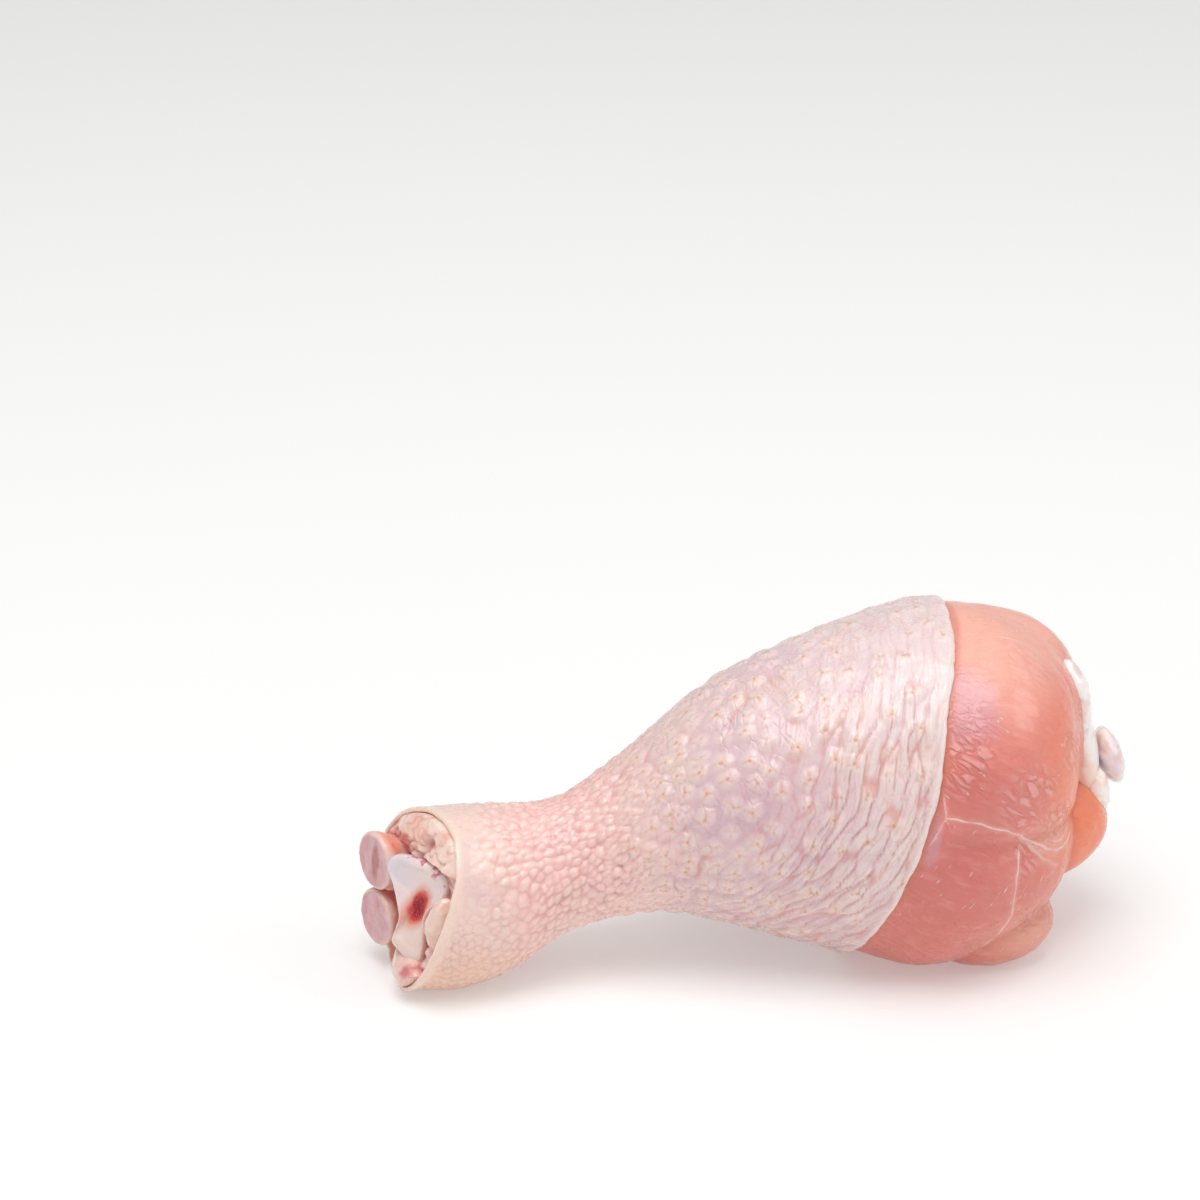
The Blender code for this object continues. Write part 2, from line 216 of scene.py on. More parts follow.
def addGrid(name, around, rows):
    # a flat grid that is then rolled up in code: each point's turn round the piece, and its share
    # of the way from the first row to the last
    bpy.ops.mesh.primitive_grid_add(x_subdivisions=around, y_subdivisions=rows, size=2.0)
    piece = bpy.context.object
    piece.name = name
    piece.data.name = name
    places = np.empty(len(piece.data.vertices) * 3, np.float32)
    piece.data.vertices.foreach_get("co", places)
    places = places.reshape(-1, 3).astype(float)
    turn = np.mod(np.round((places[:, 0] + 1) / 2 * around), around) / around * 2 * math.pi
    return piece, turn, np.round((places[:, 1] + 1) / 2 * rows) / rows


def ballAround(turn, share):
    # points on a ball of radius 1, with its poles along the leg
    polar = share * math.pi
    ring = np.sin(polar)
    return np.stack([-np.cos(polar), -np.sin(turn) * ring, np.cos(turn) * ring], axis=-1)


def leaned(points, lean):
    # leaned towards the hock
    x, y, z = points.T
    cos, sin = math.cos(lean), math.sin(lean)
    return np.stack([x * cos - z * sin, y, x * sin + z * cos], axis=-1)


def placePoints(piece, points):
    metres = ((points - footprintMiddle) * millimetre).astype(np.float32)
    piece.data.vertices.foreach_set("co", metres.ravel())
    piece.data.update()


def closeUp(piece):
    # the grid's ends, and each pole, become one, and the faces turn outwards
    bpy.ops.object.select_all(action="DESELECT")
    piece.select_set(True)
    bpy.context.view_layer.objects.active = piece
    bpy.ops.object.mode_set(mode="EDIT")
    bpy.ops.mesh.select_all(action="SELECT")
    bpy.ops.mesh.remove_doubles(threshold=mergeDistance)
    bpy.ops.mesh.normals_make_consistent(inside=False)
    bpy.ops.object.mode_set(mode="OBJECT")
    bpy.ops.object.shade_smooth()
    piece.select_set(False)


def storeValues(piece, **values):
    for name, numbers in values.items():
        layer = piece.data.attributes.new(name, "FLOAT", "POINT")
        layer.data.foreach_set("value", np.ascontiguousarray(numbers, np.float32))


def storeVector(piece, name, values):
    layer = piece.data.attributes.new(name, "FLOAT_VECTOR", "POINT")
    layer.data.foreach_set("vector", np.ascontiguousarray(values, np.float32).ravel())


def finishPiece(piece, material, node):
    closeUp(piece)
    piece.data.materials.clear()
    piece.data.materials.append(material)
    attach(piece, "root")
    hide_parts(node)
    print("made", piece.name, len(piece.data.polygons), "faces")


# Materials

class Wire:
    # a socket that can stand in a sum
    def __init__(self, finish, socket):
        self.finish = finish
        self.socket = socket

    def __add__(self, other):
        return self.finish.sum("ADD", self, other)

    def __radd__(self, other):
        return self.finish.sum("ADD", other, self)

    def __sub__(self, other):
        return self.finish.sum("SUBTRACT", self, other)

    def __rsub__(self, other):
        return self.finish.sum("SUBTRACT", other, self)

    def __mul__(self, other):
        return self.finish.sum("MULTIPLY", self, other)

    def __rmul__(self, other):
        return self.finish.sum("MULTIPLY", other, self)

    def __truediv__(self, other):
        return self.finish.sum("DIVIDE", self, other)

    def __pow__(self, other):
        return self.finish.sum("POWER", self, other)


def colour(code):
    parts = [int(code[i:i + 2], 16) / 255 for i in (1, 3, 5)]
    return (*[p / 12.92 if p <= 0.04045 else ((p + 0.055) / 1.055) ** 2.4 for p in parts], 1.0)


# how every raw piece takes the light
wetValues = {
    "Coat Roughness": 0.2,
    "Subsurface Radius": (1.0, 0.42, 0.30),
    "IOR": 1.42,
}


class Finish:
    # one material, with its nodes added from expressions
    def __init__(self, name, roughness=0.4, coat=0.0, subsurface=0.0, reach=0.002, shine=0.5):
        self.material = bpy.data.materials.new(name)
        self.material.use_nodes = True
        self.tree = self.material.node_tree
        self.shader = self.tree.nodes["Principled BSDF"]
        settings = {
            "Roughness": roughness,
            "Coat Weight": coat,
            "Specular IOR Level": shine,
            "Subsurface Weight": subsurface,
            "Subsurface Scale": reach,
        }
        for key, value in {**wetValues, **settings}.items():
            self.shader.inputs[key].default_value = value
        self.place = self.node("ShaderNodeTexCoord", output="Object")

    def node(self, kind, settings=None, inputs=None, output=0):
        made = self.tree.nodes.new(kind)
        for key, value in (settings or {}).items():
            setattr(made, key, value)
        for key, value in (inputs or {}).items():
            self.feed(made.inputs[key], value)
        return Wire(self, made.outputs[output])

    def feed(self, socket, value):
        if isinstance(value, Wire):
            self.tree.links.new(value.socket, socket)
        elif isinstance(value, str):
            socket.default_value = colour(value)
        else:
            socket.default_value = value

    def sum(self, operation, first, second):
        return self.node("ShaderNodeMath", {"operation": operation}, {0: first, 1: second})

    def push(self, operation, inputs, output=0):
        return self.node("ShaderNodeVectorMath", {"operation": operation}, inputs, output)

    def value(self, name):
        return self.node("ShaderNodeAttribute", {"attribute_name": name}, output="Fac")

    def vector(self, name):
        return self.node("ShaderNodeAttribute", {"attribute_name": name}, output="Vector")

    def axis(self, which, place=None):
        return self.node("ShaderNodeSeparateXYZ", inputs={0: place or self.place}, output=which)

    def stretched(self, scale, turn=(0.0, 0.0, 0.0), place=None):
        # turned first and then stretched, so that long grain can lie aslant
        inputs = {"Vector": place or self.place, "Rotation": turn, "Scale": [1 / v for v in scale]}
        return self.node("ShaderNodeMapping", {"vector_type": "TEXTURE"}, inputs)

    def noise(self, scale, detail=3.0, roughness=0.55, place=None, distortion=0.0):
        inputs = {"Vector": place or self.place, "Scale": scale, "Detail": detail}
        inputs.update({"Roughness": roughness, "Distortion": distortion})
        return self.node("ShaderNodeTexNoise", inputs=inputs)

    def shaken(self, place, scale, amount):
        # the same place, pushed about by soft noise
        inputs = {"Vector": place, "Scale": scale, "Detail": 2.0}
        cloud = self.node("ShaderNodeTexNoise", inputs=inputs, output="Color")
        away = self.push("SUBTRACT", {0: cloud, 1: (0.5, 0.5, 0.5)})
        return self.push("ADD", {0: place, 1: self.push("SCALE", {0: away, "Scale": amount})})

    def cracks(self, scale, place=None):
        # distance from the lines between irregular cells
        inputs = {"Vector": place or self.place, "Scale": scale}
        settings = {"feature": "DISTANCE_TO_EDGE"}
        return self.node("ShaderNodeTexVoronoi", settings, inputs, "Distance")

    def mask(self, value, low, high, start=0.0, end=1.0):
        # an even S from start to end while the value goes from low to high
        inputs = {"Value": value, "From Min": low, "From Max": high, "To Min": start, "To Max": end}
        return self.node("ShaderNodeMapRange", {"interpolation_type": "SMOOTHSTEP"}, inputs)

    def patches(self, scale, detail, low, high):
        # soft patches, where the noise of this scale is over low, and full over high
        return self.mask(self.noise(scale, detail), low, high)

    def mix(self, mask, first, second):
        settings = {"data_type": "RGBA", "clamp_factor": True}
        return self.node("ShaderNodeMix", settings, {0: mask, 6: first, 7: second}, output=2)

    def paint(self, base, *layers):
        # colours laid over each other, each with the mask that it shows through
        for mask, tint in layers:
            base = self.mix(mask, base, tint)
        return base

    def bump(self, height, strength, distance, normal=None):
        inputs = {"Height": height, "Strength": strength, "Distance": distance}
        if normal:
            inputs["Normal"] = normal
        return self.node("ShaderNodeBump", inputs=inputs)

    def wear(self, **sockets):
        names = {"colour": "Base Color", "roughness": "Roughness", "normal": "Normal"}
        for key, value in sockets.items():
            self.feed(self.shader.inputs[names[key]], value)
        return self.material


# The skin

skinValues = {
    "around": 392,
    "outerRings": 228,
    "innerRings": 12,
    "rollSteps": 6,
    # the rings lie closer on the folds near the edge
    "ringDensity": ((0.0, 0.0), (0.62, 0.52), (1.0, 1.0)),
    "thinEdge": 0.60,
    "thinMouth": 0.62,
    # share of the length that each rolled end takes, and how far the ends wander
    "rollShare": 0.008,
    "raggedEdge": 0.55,
    "raggedMouth": 0.30,
    "middleRadius": 29.0,
    # cells round the leg: domes, pebbles and scales
    "columns": 30,
    "pebbleColumns": 44,
    "scaleColumns": 50,
    "scaleLength": 1.35,
    # folds: width, length round the leg, height, how plain the grooves are
    "folds": ((2.5, 18.0, 0.34, 1.0), (1.5, 10.0, 0.10, 0.45)),
    "foldRadius": 28.0,
    "foldLean": 16.0,
    # where each kind of relief comes in or goes
    "zones": {
        "neckStarts": (11.0, 19.0), "neckEnds": (46.0, 34.0), "domesStart": (30.0, 42.0),
        "foldsStart": (34.0, 15.0), "foldsEnd": (0.5, 2.4),
        "leanStarts": (math.radians(70), math.radians(190)),
        "leanEnds": (math.radians(200), math.radians(335)), "wrinklesStart": (9.0, 3.0),
        "wrinklesEnd": (0.9, 2.4), "scalesEnd": (21.0, 11.0), "scalesStart": (1.0, 2.8),
        "scalesClear": (21.0, 11.0), "mouthCalm": (0.0, 2.6), "edgeCalm": (0.0, 1.6),
    },
    # heights and depths of the relief
    "heights": {
        "pillow": 0.42, "pebble": 0.50, "valley": 0.16, "grain": 0.16, "crack": 0.15,
        "pore": 0.22, "cleft": 0.12, "ridge": 1.1, "groove": 0.26, "wrinkle": 0.20,
        "scale": 0.10, "swelling": 0.40, "lump": 0.14, "edgeLip": 0.22, "mouthLip": 0.18,
        "lowered": 0.14,
    },
}


def skinSurface(x, angle):
    # relief in millimetres over the plain leg, and the values that the material reads
    zone, high = skinValues["zones"], skinValues["heights"]
    halfWidth, halfHeight, _ = legSection(x)
    radius = (halfWidth + halfHeight) / 2
    fromMouth = x - mouthAt(angle)
    fromEdge = skinEdgeAt(angle) - x
    flat = legPoint(x, angle)
    turns = angle / (2 * math.pi)

    # distance along the leg counted in radii, so that cells keep their shape as the leg widens
    places = np.linspace(-8.0, 112.0, 600)
    widths, heights, _ = legSection(places)
    counted = np.cumsum(np.diff(places) / ((widths + heights) / 2)[1:])
    along = np.interp(x, places, np.concatenate([[0.0], counted]))

    wander = layeredNoise(flat, 7.0, 11, 2)
    drift = layeredNoise(flat + 40.0, 7.0, 13, 2)

    def cellsAlong(columns, push, jitter, seed):
        size = 2 * math.pi * radius / columns
        u = np.mod(turns * columns + push * drift / size, columns)
        v = along * columns / (2 * math.pi) / staggeredRow + push * wander / size
        return size, *cellsRound(u, v, columns, jitter, seed)

    cellSize, near, _, offU, offV, mark = cellsAlong(skinValues["columns"], 0.9, 0.27, 5)
    spot = near * cellSize
    neck = smoothStep(*zone["neckStarts"], x + 2 * wander) * smoothStep(*zone["neckEnds"], x)
    middle = smoothStep(*zone["domesStart"], x)
    folded = smoothStep(*zone["foldsStart"], fromEdge + 3.0 * wander)
    sleeve = 1 - folded

    # packed pebbles of uneven size on the neck
    pebbles = cellsAlong(skinValues["pebbleColumns"], 0.8, 0.42, 7)
    _, fineNear, fineSecond, _, _, fineMark = pebbles
    pebble = hump(fineNear, 0.72) * (0.45 + 0.55 * fineMark)
    pillow = hump(near, 0.74) * (0.6 + 0.4 * mark)
    valley = (1 - smoothStep(0.05, 0.34, fineSecond - fineNear)) * (0.4 + 0.6 * fineMark)
    pillowed = high["pillow"] * pillow + high["pebble"] * pebble - high["valley"] * valley

    # low domes with a pore and short clefts further up
    dome = hump(spot, 1.85 + 0.45 * mark)
    domed = middle * (0.42 + 0.36 * mark) * dome ** 1.1 * (0.5 * folded + sleeve)
    pore = bell(spot, 0.34) * middle ** 2
    star = np.cos(3 * np.arctan2(offV, offU) + 6.3 * mark)
    cleft = smoothStep(0.55, 1.0, star) * bell(spot - 0.65, 0.5) * middle

    # skin between the domes: small pebbles and fine creases that run round the leg
    grain = middle * sleeve * (1 - 0.8 * dome)
    ringwise = np.stack([x + 1.2 * wander, flat[:, 1], flat[:, 2]], axis=-1)
    crack = np.abs(layeredNoise(ringwise, (2.0, 6.0, 6.0), 21, 2))
    crack = 1 - smoothStep(0.0, 0.11, crack)
    crack = crack * smoothStep(-0.25, 0.35, softNoise(flat, 6.0, 23))
    between = grain * (high["grain"] * pebble - high["crack"] * crack)

    # long folds near the thick end's edge, that lean away from it on the underside
    lean = skinValues["foldLean"] * smoothStep(*zone["leanStarts"], angle)
    lean = lean * (1 - smoothStep(*zone["leanEnds"], angle))
    across = fromEdge - lean + drift + 1.3 * softNoise(flat, 18.0, 35)
    foldPlace = np.stack([across, flat[:, 1], flat[:, 2]], axis=-1)
    fade = folded * smoothStep(*zone["foldsEnd"], fromEdge)
    depth = smoothStep(1.0, 0.6, np.cos(angle))
    ridge, groove = np.zeros(len(x)), np.zeros(len(x))
    for number, (width, length, height, plain) in enumerate(skinValues["folds"]):
        slots = round(2 * math.pi * skinValues["foldRadius"] / length)
        foldU = np.mod(turns * slots + 0.25 * softNoise(flat, 9.0, 36 + number), slots)
        push = 0.35 * width * softNoise(flat, (3.0, 5.0, 5.0), 31 + number)
        cells = cellsRound(foldU, (across + push) / width + 400, slots, 0.31, 37 + number, 1.0)
        foldNear, foldSecond, _, _, foldMark = cells
        ridge = ridge + height * hump(foldNear, 0.8) * (0.55 + 0.45 * foldMark)
        apart = smoothStep(0.02, 0.15, foldSecond - foldNear)
        groove = np.maximum(groove, plain * (1 - apart))
    folds = fade * (high["ridge"] * ridge - high["groove"] * groove) * (0.25 + 0.75 * depth)

    # short wrinkles next to the edge
    wrinkles = high["wrinkle"] * softNoise(foldPlace + 9.0, (1.3, 4.5, 4.5), 51)
    for ends in ("wrinklesStart", "wrinklesEnd"):
        wrinkles = wrinkles * smoothStep(*zone[ends], fromEdge)

    # small scales near the hock, clearest underneath
    scaleColumns = skinValues["scaleColumns"]
    scaleV = (x + 0.8 * wander) / skinValues["scaleLength"]
    scaleU = np.mod(turns * scaleColumns + 0.35 * drift, scaleColumns)
    scaleNear, scaleSecond, _, _, _ = cellsRound(scaleU, scaleV, scaleColumns, 0.3, 61)
    scaly = smoothStep(*zone["scalesEnd"], x + 3.0 * wander)
    scaly = scaly * smoothStep(*zone["scalesStart"], fromMouth)
    clear = 0.25 + 0.75 * smoothStep(*zone["scalesClear"], flat[:, 2] + 2.0 * drift)
    scaleLine = (1 - smoothStep(0.0, 0.24, scaleSecond - scaleNear)) * scaly * clear
    scales = high["scale"] * (scaly * (1 - (scaleNear / 0.7) ** 2) - scaleLine)

    slow = high["swelling"] * layeredNoise(flat, 16.0, 71, 2)
    slow = slow + high["lump"] * layeredNoise(flat, 4.5, 73, 2)
    calm = smoothStep(*zone["mouthCalm"], fromMouth) * smoothStep(*zone["edgeCalm"], fromEdge)
    lip = high["edgeLip"] * bell(fromEdge - 0.9, 0.7)
    lip = lip + high["mouthLip"] * bell(fromMouth - 1.0, 0.8)
    relief = neck * pillowed + domed + between - high["pore"] * pore - high["cleft"] * cleft
    relief = calm * (relief + folds + wrinkles + scales + slow) + lip - high["lowered"]

    # the crease mask: the skin's own pinker tone in valleys, cracks, clefts and grooves, with
    # painted shade in them
    crease = 0.7 * neck * valley + 0.8 * grain * crack + 0.6 * cleft
    crease = crease + fade * (0.3 + 0.7 * depth) * groove
    bumpTop = neck * (0.5 * pillow + 0.6 * pebble) + middle * dome + folded * ridge
    values = {
        "bumpTop": np.clip(bumpTop, 0, 1),
        "crease": np.clip(crease, 0, 1) * calm,
        "cleft": cleft * (0.5 + 0.5 * sleeve),
        "scaleLine": scaleLine,
        "poreMark": mark,
        "fromMouth": fromMouth,
        "fromEdge": fromEdge,
        "folded": folded,
        "neck": neck,
        "depth": depth,
    }
    pores = np.stack([offU * cellSize, offV * cellSize, 0 * x], axis=-1)
    return relief, values, pores, foldPlace


def makeSkin():
    outer, inner, rollSteps = (skinValues[k] for k in ("outerRings", "innerRings", "rollSteps"))
    total = outer + inner + 2 * rollSteps
    piece, angle, share = addGrid("skinSleeve", skinValues["around"], total)
    ring = np.mod(np.round(share * total), total)
    radius = skinValues["middleRadius"]
    circle = np.stack([0 * angle, np.sin(angle) * radius, np.cos(angle) * radius], axis=-1)
    end = skinEdgeAt(angle) + skinValues["raggedEdge"] * layeredNoise(circle, 5.0, 141, 3)
    start = mouthAt(angle) + skinValues["raggedMouth"] * layeredNoise(circle, 6.0, 143, 2)
    length = end - start
    thick = legValues["skinThickness"]
    edgeThick = thick * skinValues["thinEdge"]
    mouthThick = thick * skinValues["thinMouth"]

    # the sleeve's closed loop: outside, rolled edge, inside, rolled mouth
    rollShare = skinValues["rollShare"]
    between = 1 - 2 * rollShare
    density = np.array(skinValues["ringDensity"])
    share = np.interp(np.clip(ring / (outer - 1), 0, 1), density[:, 1], density[:, 0])
    turnEdge = np.clip((ring - outer + 1) / (rollSteps + 1), 0, 1) * math.pi
    back = np.clip((ring - outer - rollSteps) / (inner - 1), 0, 1)
    turnMouth = np.clip((ring - outer - rollSteps - inner + 1) / (rollSteps + 1), 0, 1) * math.pi
    rolling = (ring >= outer) & (ring < outer + rollSteps)
    within = (ring >= outer + rollSteps) & (ring < outer + rollSteps + inner)
    closing = ring >= outer + rollSteps + inner
    x = start + length * (rollShare + between * share)
    x = np.where(rolling, start + length * (1 - rollShare) + 0.45 * np.sin(turnEdge), x)
    x = np.where(within, end - length * (rollShare + between * back ** 1.3), x)
    x = np.where(closing, start + length * rollShare - 0.42 * np.sin(turnMouth), x)
    under = np.where(rolling, edgeThick / 2 * (1 - np.cos(turnEdge)), 0.0)
    inside = edgeThick + (thick - edgeThick) * smoothStep(0.0, 0.12, back)
    inside = inside + (mouthThick - thick) * smoothStep(0.93, 1.0, back)
    under = np.where(within, inside, under)
    under = np.where(closing, mouthThick / 2 * (1 + np.cos(turnMouth)), under)

    relief, values, pores, foldPlace = skinSurface(x, angle)
    rolled = np.where(rolling, 1 - under / edgeThick, 1 - under / mouthThick)
    shown = np.where(ring < outer, 1.0, np.where(within, 0.0, rolled))
    placePoints(piece, legPoint(x, angle, under, relief * shown))
    storeValues(piece, outside=shown, **values)
    storeVector(piece, "poreOffset", pores)
    storeVector(piece, "foldPlace", foldPlace)
    return piece


def skinFinish():
    f = Finish("chickenSkin", roughness=0.34, coat=0.22, subsurface=0.25, reach=0.0025, shine=0.75)
    x = f.axis("X") * perMetre + float(footprintMiddle[0])
    z = f.axis("Z") * perMetre
    soft = f.noise(38, 2) - 0.5
    patchy = f.noise(95, 3)
    ground = f.paint(
        "#F7D5CC",
        # the pink neck, the scales under the mouth, the lilac middle and the pale thick end
        (f.mask(x + soft * 14, 15, 25), "#FFC5BE"),
        (f.mask(z + soft * 8, 15, 7) * f.mask(x, 30, 16), "#F0C8B4"),
        (f.mask(x + soft * 18, 34, 50), "#E4C2C8"),
        (f.mask(x + (patchy - 0.5) * 20, 62, 84), "#EED5D6"),
        # painted light on the top, painted shade on the underside, and painted fill light on the
        # low side of the neck
        (f.mask(z, 40, 52) * f.mask(x, 34, 50) * 0.5, "#EFD6D8"),
        (f.mask(z, 26, 8) * f.mask(x, 36, 52) * 0.6, "#D8B9BB"),
        (f.mask(z, 22, 9) * f.mask(x, 20, 30) * f.mask(x, 52, 40) * 0.75, "#FFE0D5"),
        # warm and cool patches
        (f.mask(patchy, 0.5, 0.68) * 0.45, "#EFCDBE"),
        (f.patches(60, 2, 0.52, 0.7) * 0.45, "#D3AEBE"),
    )
    top = f.mix(f.value("neck"), "#F6E2D9", "#FDDED7")
    crease = f.mix(f.patches(70, 2, 0.4, 0.6), "#DA9098", "#E49E8E")
    spot = f.push("LENGTH", {0: f.vector("poreOffset")}, "Value")
    ragged = spot + (f.noise(2600, 2) - 0.5) * 0.35
    pored = f.mask(x, 34, 46) * f.mask(f.value("poreMark"), 0.1, 0.4)
    tinted = f.paint(
        ground,
        (f.value("bumpTop") * 0.58, top),
        # painted shade in the creases, over the creases' own pinker tone
        (f.value("crease") * 0.68, crease),
        (f.value("scaleLine") * 0.65, "#E8A78A"),
        # each pore's pale ring, its dark middle and its clefts
        (f.mask(ragged, 0.95, 0.35) * pored * 0.3, "#F0C9A8"),
        (f.mask(ragged, 0.42, 0.10) * pored * 0.62, "#D69064"),
        (f.value("cleft") * 0.2, "#DDA284"),
        # the two rims
        (f.mask(f.value("fromMouth"), 2.6, 1.0) * 0.7, "#F8DCCB"),
        (f.mask(f.value("fromEdge"), 1.5, 0.5) * 0.7, "#FAE6DF"),
    )
    # thin creases, with painted shade in them: long ones along the folds, and a fine net between
    # the domes
    foldPlace = f.stretched((0.80, 0.15, 0.15), place=f.vector("foldPlace"))
    longLine = f.cracks(1.0, f.shaken(foldPlace, 0.9, 0.9))
    near = f.value("folded") * (f.value("depth") * 0.6 + 0.4)
    net = f.cracks(430, f.shaken(f.stretched((1.3, 0.8, 0.8)), 260, 0.0022))
    netted = f.mask(x, 30, 44) * (1 - near) * f.patches(110, 2, 0.38, 0.56)
    fineCrease = f.mask(net, 0.15, 0.0) * netted
    tinted = f.paint(
        "#FBDDCB",
        (f.value("outside"), tinted),
        (f.mask(longLine, 0.10, 0.0) * near * 0.12, "#C48F9C"),
        # painted highlight along the fold crests between the long creases
        (f.mask(longLine, 0.12, 0.30) * near * 0.15, "#F9EAE4"),
        (fineCrease * 0.09, "#C48F9C"),
    )
    strands = f.noise(800, 4, 0.6, f.stretched((1.0, 0.38, 0.38)))
    normal = f.bump(strands, 0.22, 0.0004)
    normal = f.bump(f.mask(longLine, 0.0, 0.30) * near, 0.25, 0.0003, normal)
    normal = f.bump(1 - fineCrease, 0.45, 0.00022, normal)
    normal = f.bump(f.noise(2400, 2), 0.3, 0.00012, normal)
    roughness = f.mask(f.noise(420, 3), 0.3, 0.7, 0.22, 0.38)
    return f.wear(colour=tinted, roughness=roughness, normal=normal)


# The meat

meatValues = {
    "around": 384,
    "rings": 230,
    # centre and half sizes of each muscle
    "muscles": {
        "calf": ((92.0, -2.0, 36.5), (29.0, 26.5, 25.3)),
        "shank": ((88.0, -5.0, 21.9), (30.0, 24.0, 22.8)),
        "farCalf": ((93.0, 11.0, 33.0), (28.0, 19.0, 25.0)),
        "farShank": ((91.0, 9.0, 17.8), (27.0, 19.0, 18.4)),
        "kneeSide": ((110.0, -2.0, 20.8), (15.4, 12.5, 10.6)),
        "heelFlap": ((101.5, -12.0, 7.4), (11.8, 9.0, 7.7)),
        "crown": ((104.0, 4.0, 44.0), (16.4, 14.0, 14.0)),
    },
    "fanCentre": (101.0, 0.0, 30.0),
    "blend": 12.0,
    "melt": 0.45,
    "setback": 9.95,
    # shares of the rows at which the cap, the hidden part and the side end
    "shareEnds": (0.02, 0.08, 0.40),
    # how deep each muscle's seams are
    "seamShare": (0.7, 0.7, 0.4, 0.6, 1.0, 1.0, 0.0),
    # pale sheets of fascia: width, height, strength of the colour, then points along each line
    "fasciaLines": (
        (0.16, 0.10, 0.7, (
            (88.4, -25.9, 38.8), (88.7, -26.7, 36.8), (88.7, -27.2, 34.8), (87.6, -27.2, 32.7),
            (86.2, -27.0, 30.1), (84.4, -28.1, 28.4),
        )),
        (0.18, 0.14, 1.0, (
            (88.7, -27.2, 34.8), (91.3, -28.2, 34.4), (94.6, -28.2, 33.5), (97.9, -27.5, 32.0),
            (100.4, -26.6, 30.8), (102.1, -25.8, 29.7), (104.6, -24.4, 27.8),
            (107.1, -23.0, 25.9), (109.5, -21.5, 24.0), (112.2, -18.5, 23.2),
            (114.5, -15.5, 23.9),
        )),
        (0.16, 0.10, 0.7, (
            (109.2, -21.6, 25.9), (112.2, -18.9, 24.4), (114.6, -16.4, 25.6),
            (115.6, -15.8, 28.6), (116.5, -15.2, 33.0), (117.0, -15.0, 37.0),
            (116.4, -14.6, 41.1), (115.4, -13.6, 45.3), (114.4, -11.6, 48.6),
            (111.6, -9.0, 52.6), (107.8, -8.5, 55.6), (103.0, -8.6, 57.8),
        )),
        (0.18, 0.12, 0.9, (
            (102.3, -25.6, 26.4), (102.1, -26.0, 23.1), (101.9, -26.1, 21.3),
            (101.7, -25.9, 18.3), (101.8, -24.7, 14.6), (101.2, -24.2, 12.2),
            (100.2, -22.8, 9.6), (98.4, -21.4, 7.4),
        )),
        (0.30, 0.05, 0.5, (
            (102.3, -25.6, 29.0), (104.8, -24.8, 26.6), (107.5, -23.0, 23.6),
            (110.5, -20.5, 21.0),
        )),
    ),
    # crumpled patches of fascia: centre, radius, size of a crumple, depth
    "crumples": (
        ((103.9, -26.1, 36.4), 7.0, 2.3, 0.34),
        ((110.0, -21.1, 29.6), 5.2, 1.3, 0.26),
        ((106.1, -13.5, 55.6), 6.0, 1.8, 0.06),
        ((113.0, -19.6, 41.4), 4.4, 1.5, 0.06),
        ((91.5, -26.2, 44.5), 6.5, 1.3, 0.26),
        ((103.6, -25.0, 25.0), 3.8, 1.2, 0.24),
        ((105.6, -20.5, 10.4), 3.4, 1.2, 0.16),
        ((96.0, 22.0, 40.0), 9.0, 2.0, 0.26),
        ((106.0, 18.0, 26.0), 8.0, 1.6, 0.26),
    ),
    # where the colour turns: lilac (a painted reflection high on the left, and the flap's own lilac
    # beside the skin's edge), dusky red and orange glow, as centre and half sizes
    "lilacFlapAndPaintedSheen": (((93.5, -20.5, 51.0), (6.0, 8.0, 8.0)), ((86.4, -27.0, 33.0), (1.9, 6.0, 6.5))),
    "dusk": (((90.4, -27.9, 27.0), (10.0, 10.0, 9.0)), ((94.0, -24.0, 40.0), (7.0, 8.0, 5.0))),
    "glow": (((114.0, -18.0, 35.0), (7.0, 10.0, 12.0)), ((118.0, -8.0, 22.0), (8.0, 10.0, 8.0))),
    "peachy": (((106.0, -18.0, 8.0), (9.0, 9.0, 5.5)), ((110.0, -22.0, 27.0), (4.0, 5.0, 3.0))),
    # the cartilage presses the meat in here: centre, half sizes, depth
    "dent": ((118.5, -12.5, 38.5), (7.0, 7.0, 9.5), 2.3),
}


def muscleReach(origin, direction):
    reaches = []
    for centre, half in meatValues["muscles"].values():
        fromCentre = (origin - np.array(centre)) / half
        along = direction / half
        a = (along**2).sum(-1)
        b = (along * fromCentre).sum(-1)
        c = (fromCentre**2).sum(-1) - 1
        inside = b * b - a * c
        far = (-b + np.sqrt(np.maximum(inside, 0))) / a
        reaches.append(np.where(inside > 0, far, 0.0))
    reaches = np.array(reaches)
    furthest = reaches.max(axis=0)
    melt = meatValues["melt"]
    reach = furthest + melt * np.log(np.exp((reaches - furthest) / melt).sum(axis=0))
    order = reaches.argsort(axis=0)
    ordered = np.sort(reaches, axis=0)
    return reach, ordered[-1] - ordered[-2], order[-1], order[-2]


def acrossLine(points, line, outward):
    # distance of each point from a line drawn through these places, and the same with a sign
    # for its side of the line, measured along the surface
    line = np.asarray(line, float)
    nearest = np.full(len(points), 1e9)
    signed = nearest.copy()
    for first, last in zip(line, line[1:]):
        span = last - first
        share = np.clip(((points - first) @ span) / (span @ span), 0, 1)
        away = points - first - share[:, None] * span
        distance = np.linalg.norm(away, axis=1)
        side = np.sign((np.cross(span, outward) * away).sum(-1))
        level = away - (away * outward).sum(-1)[:, None] * outward
        signed = np.where(distance < nearest, side * np.linalg.norm(level, axis=1), signed)
        nearest = np.minimum(nearest, distance)
    return nearest, signed


def softSpot(points, centre, half):
    return np.exp(-(((points - np.array(centre)) / np.array(half)) ** 2).sum(-1))


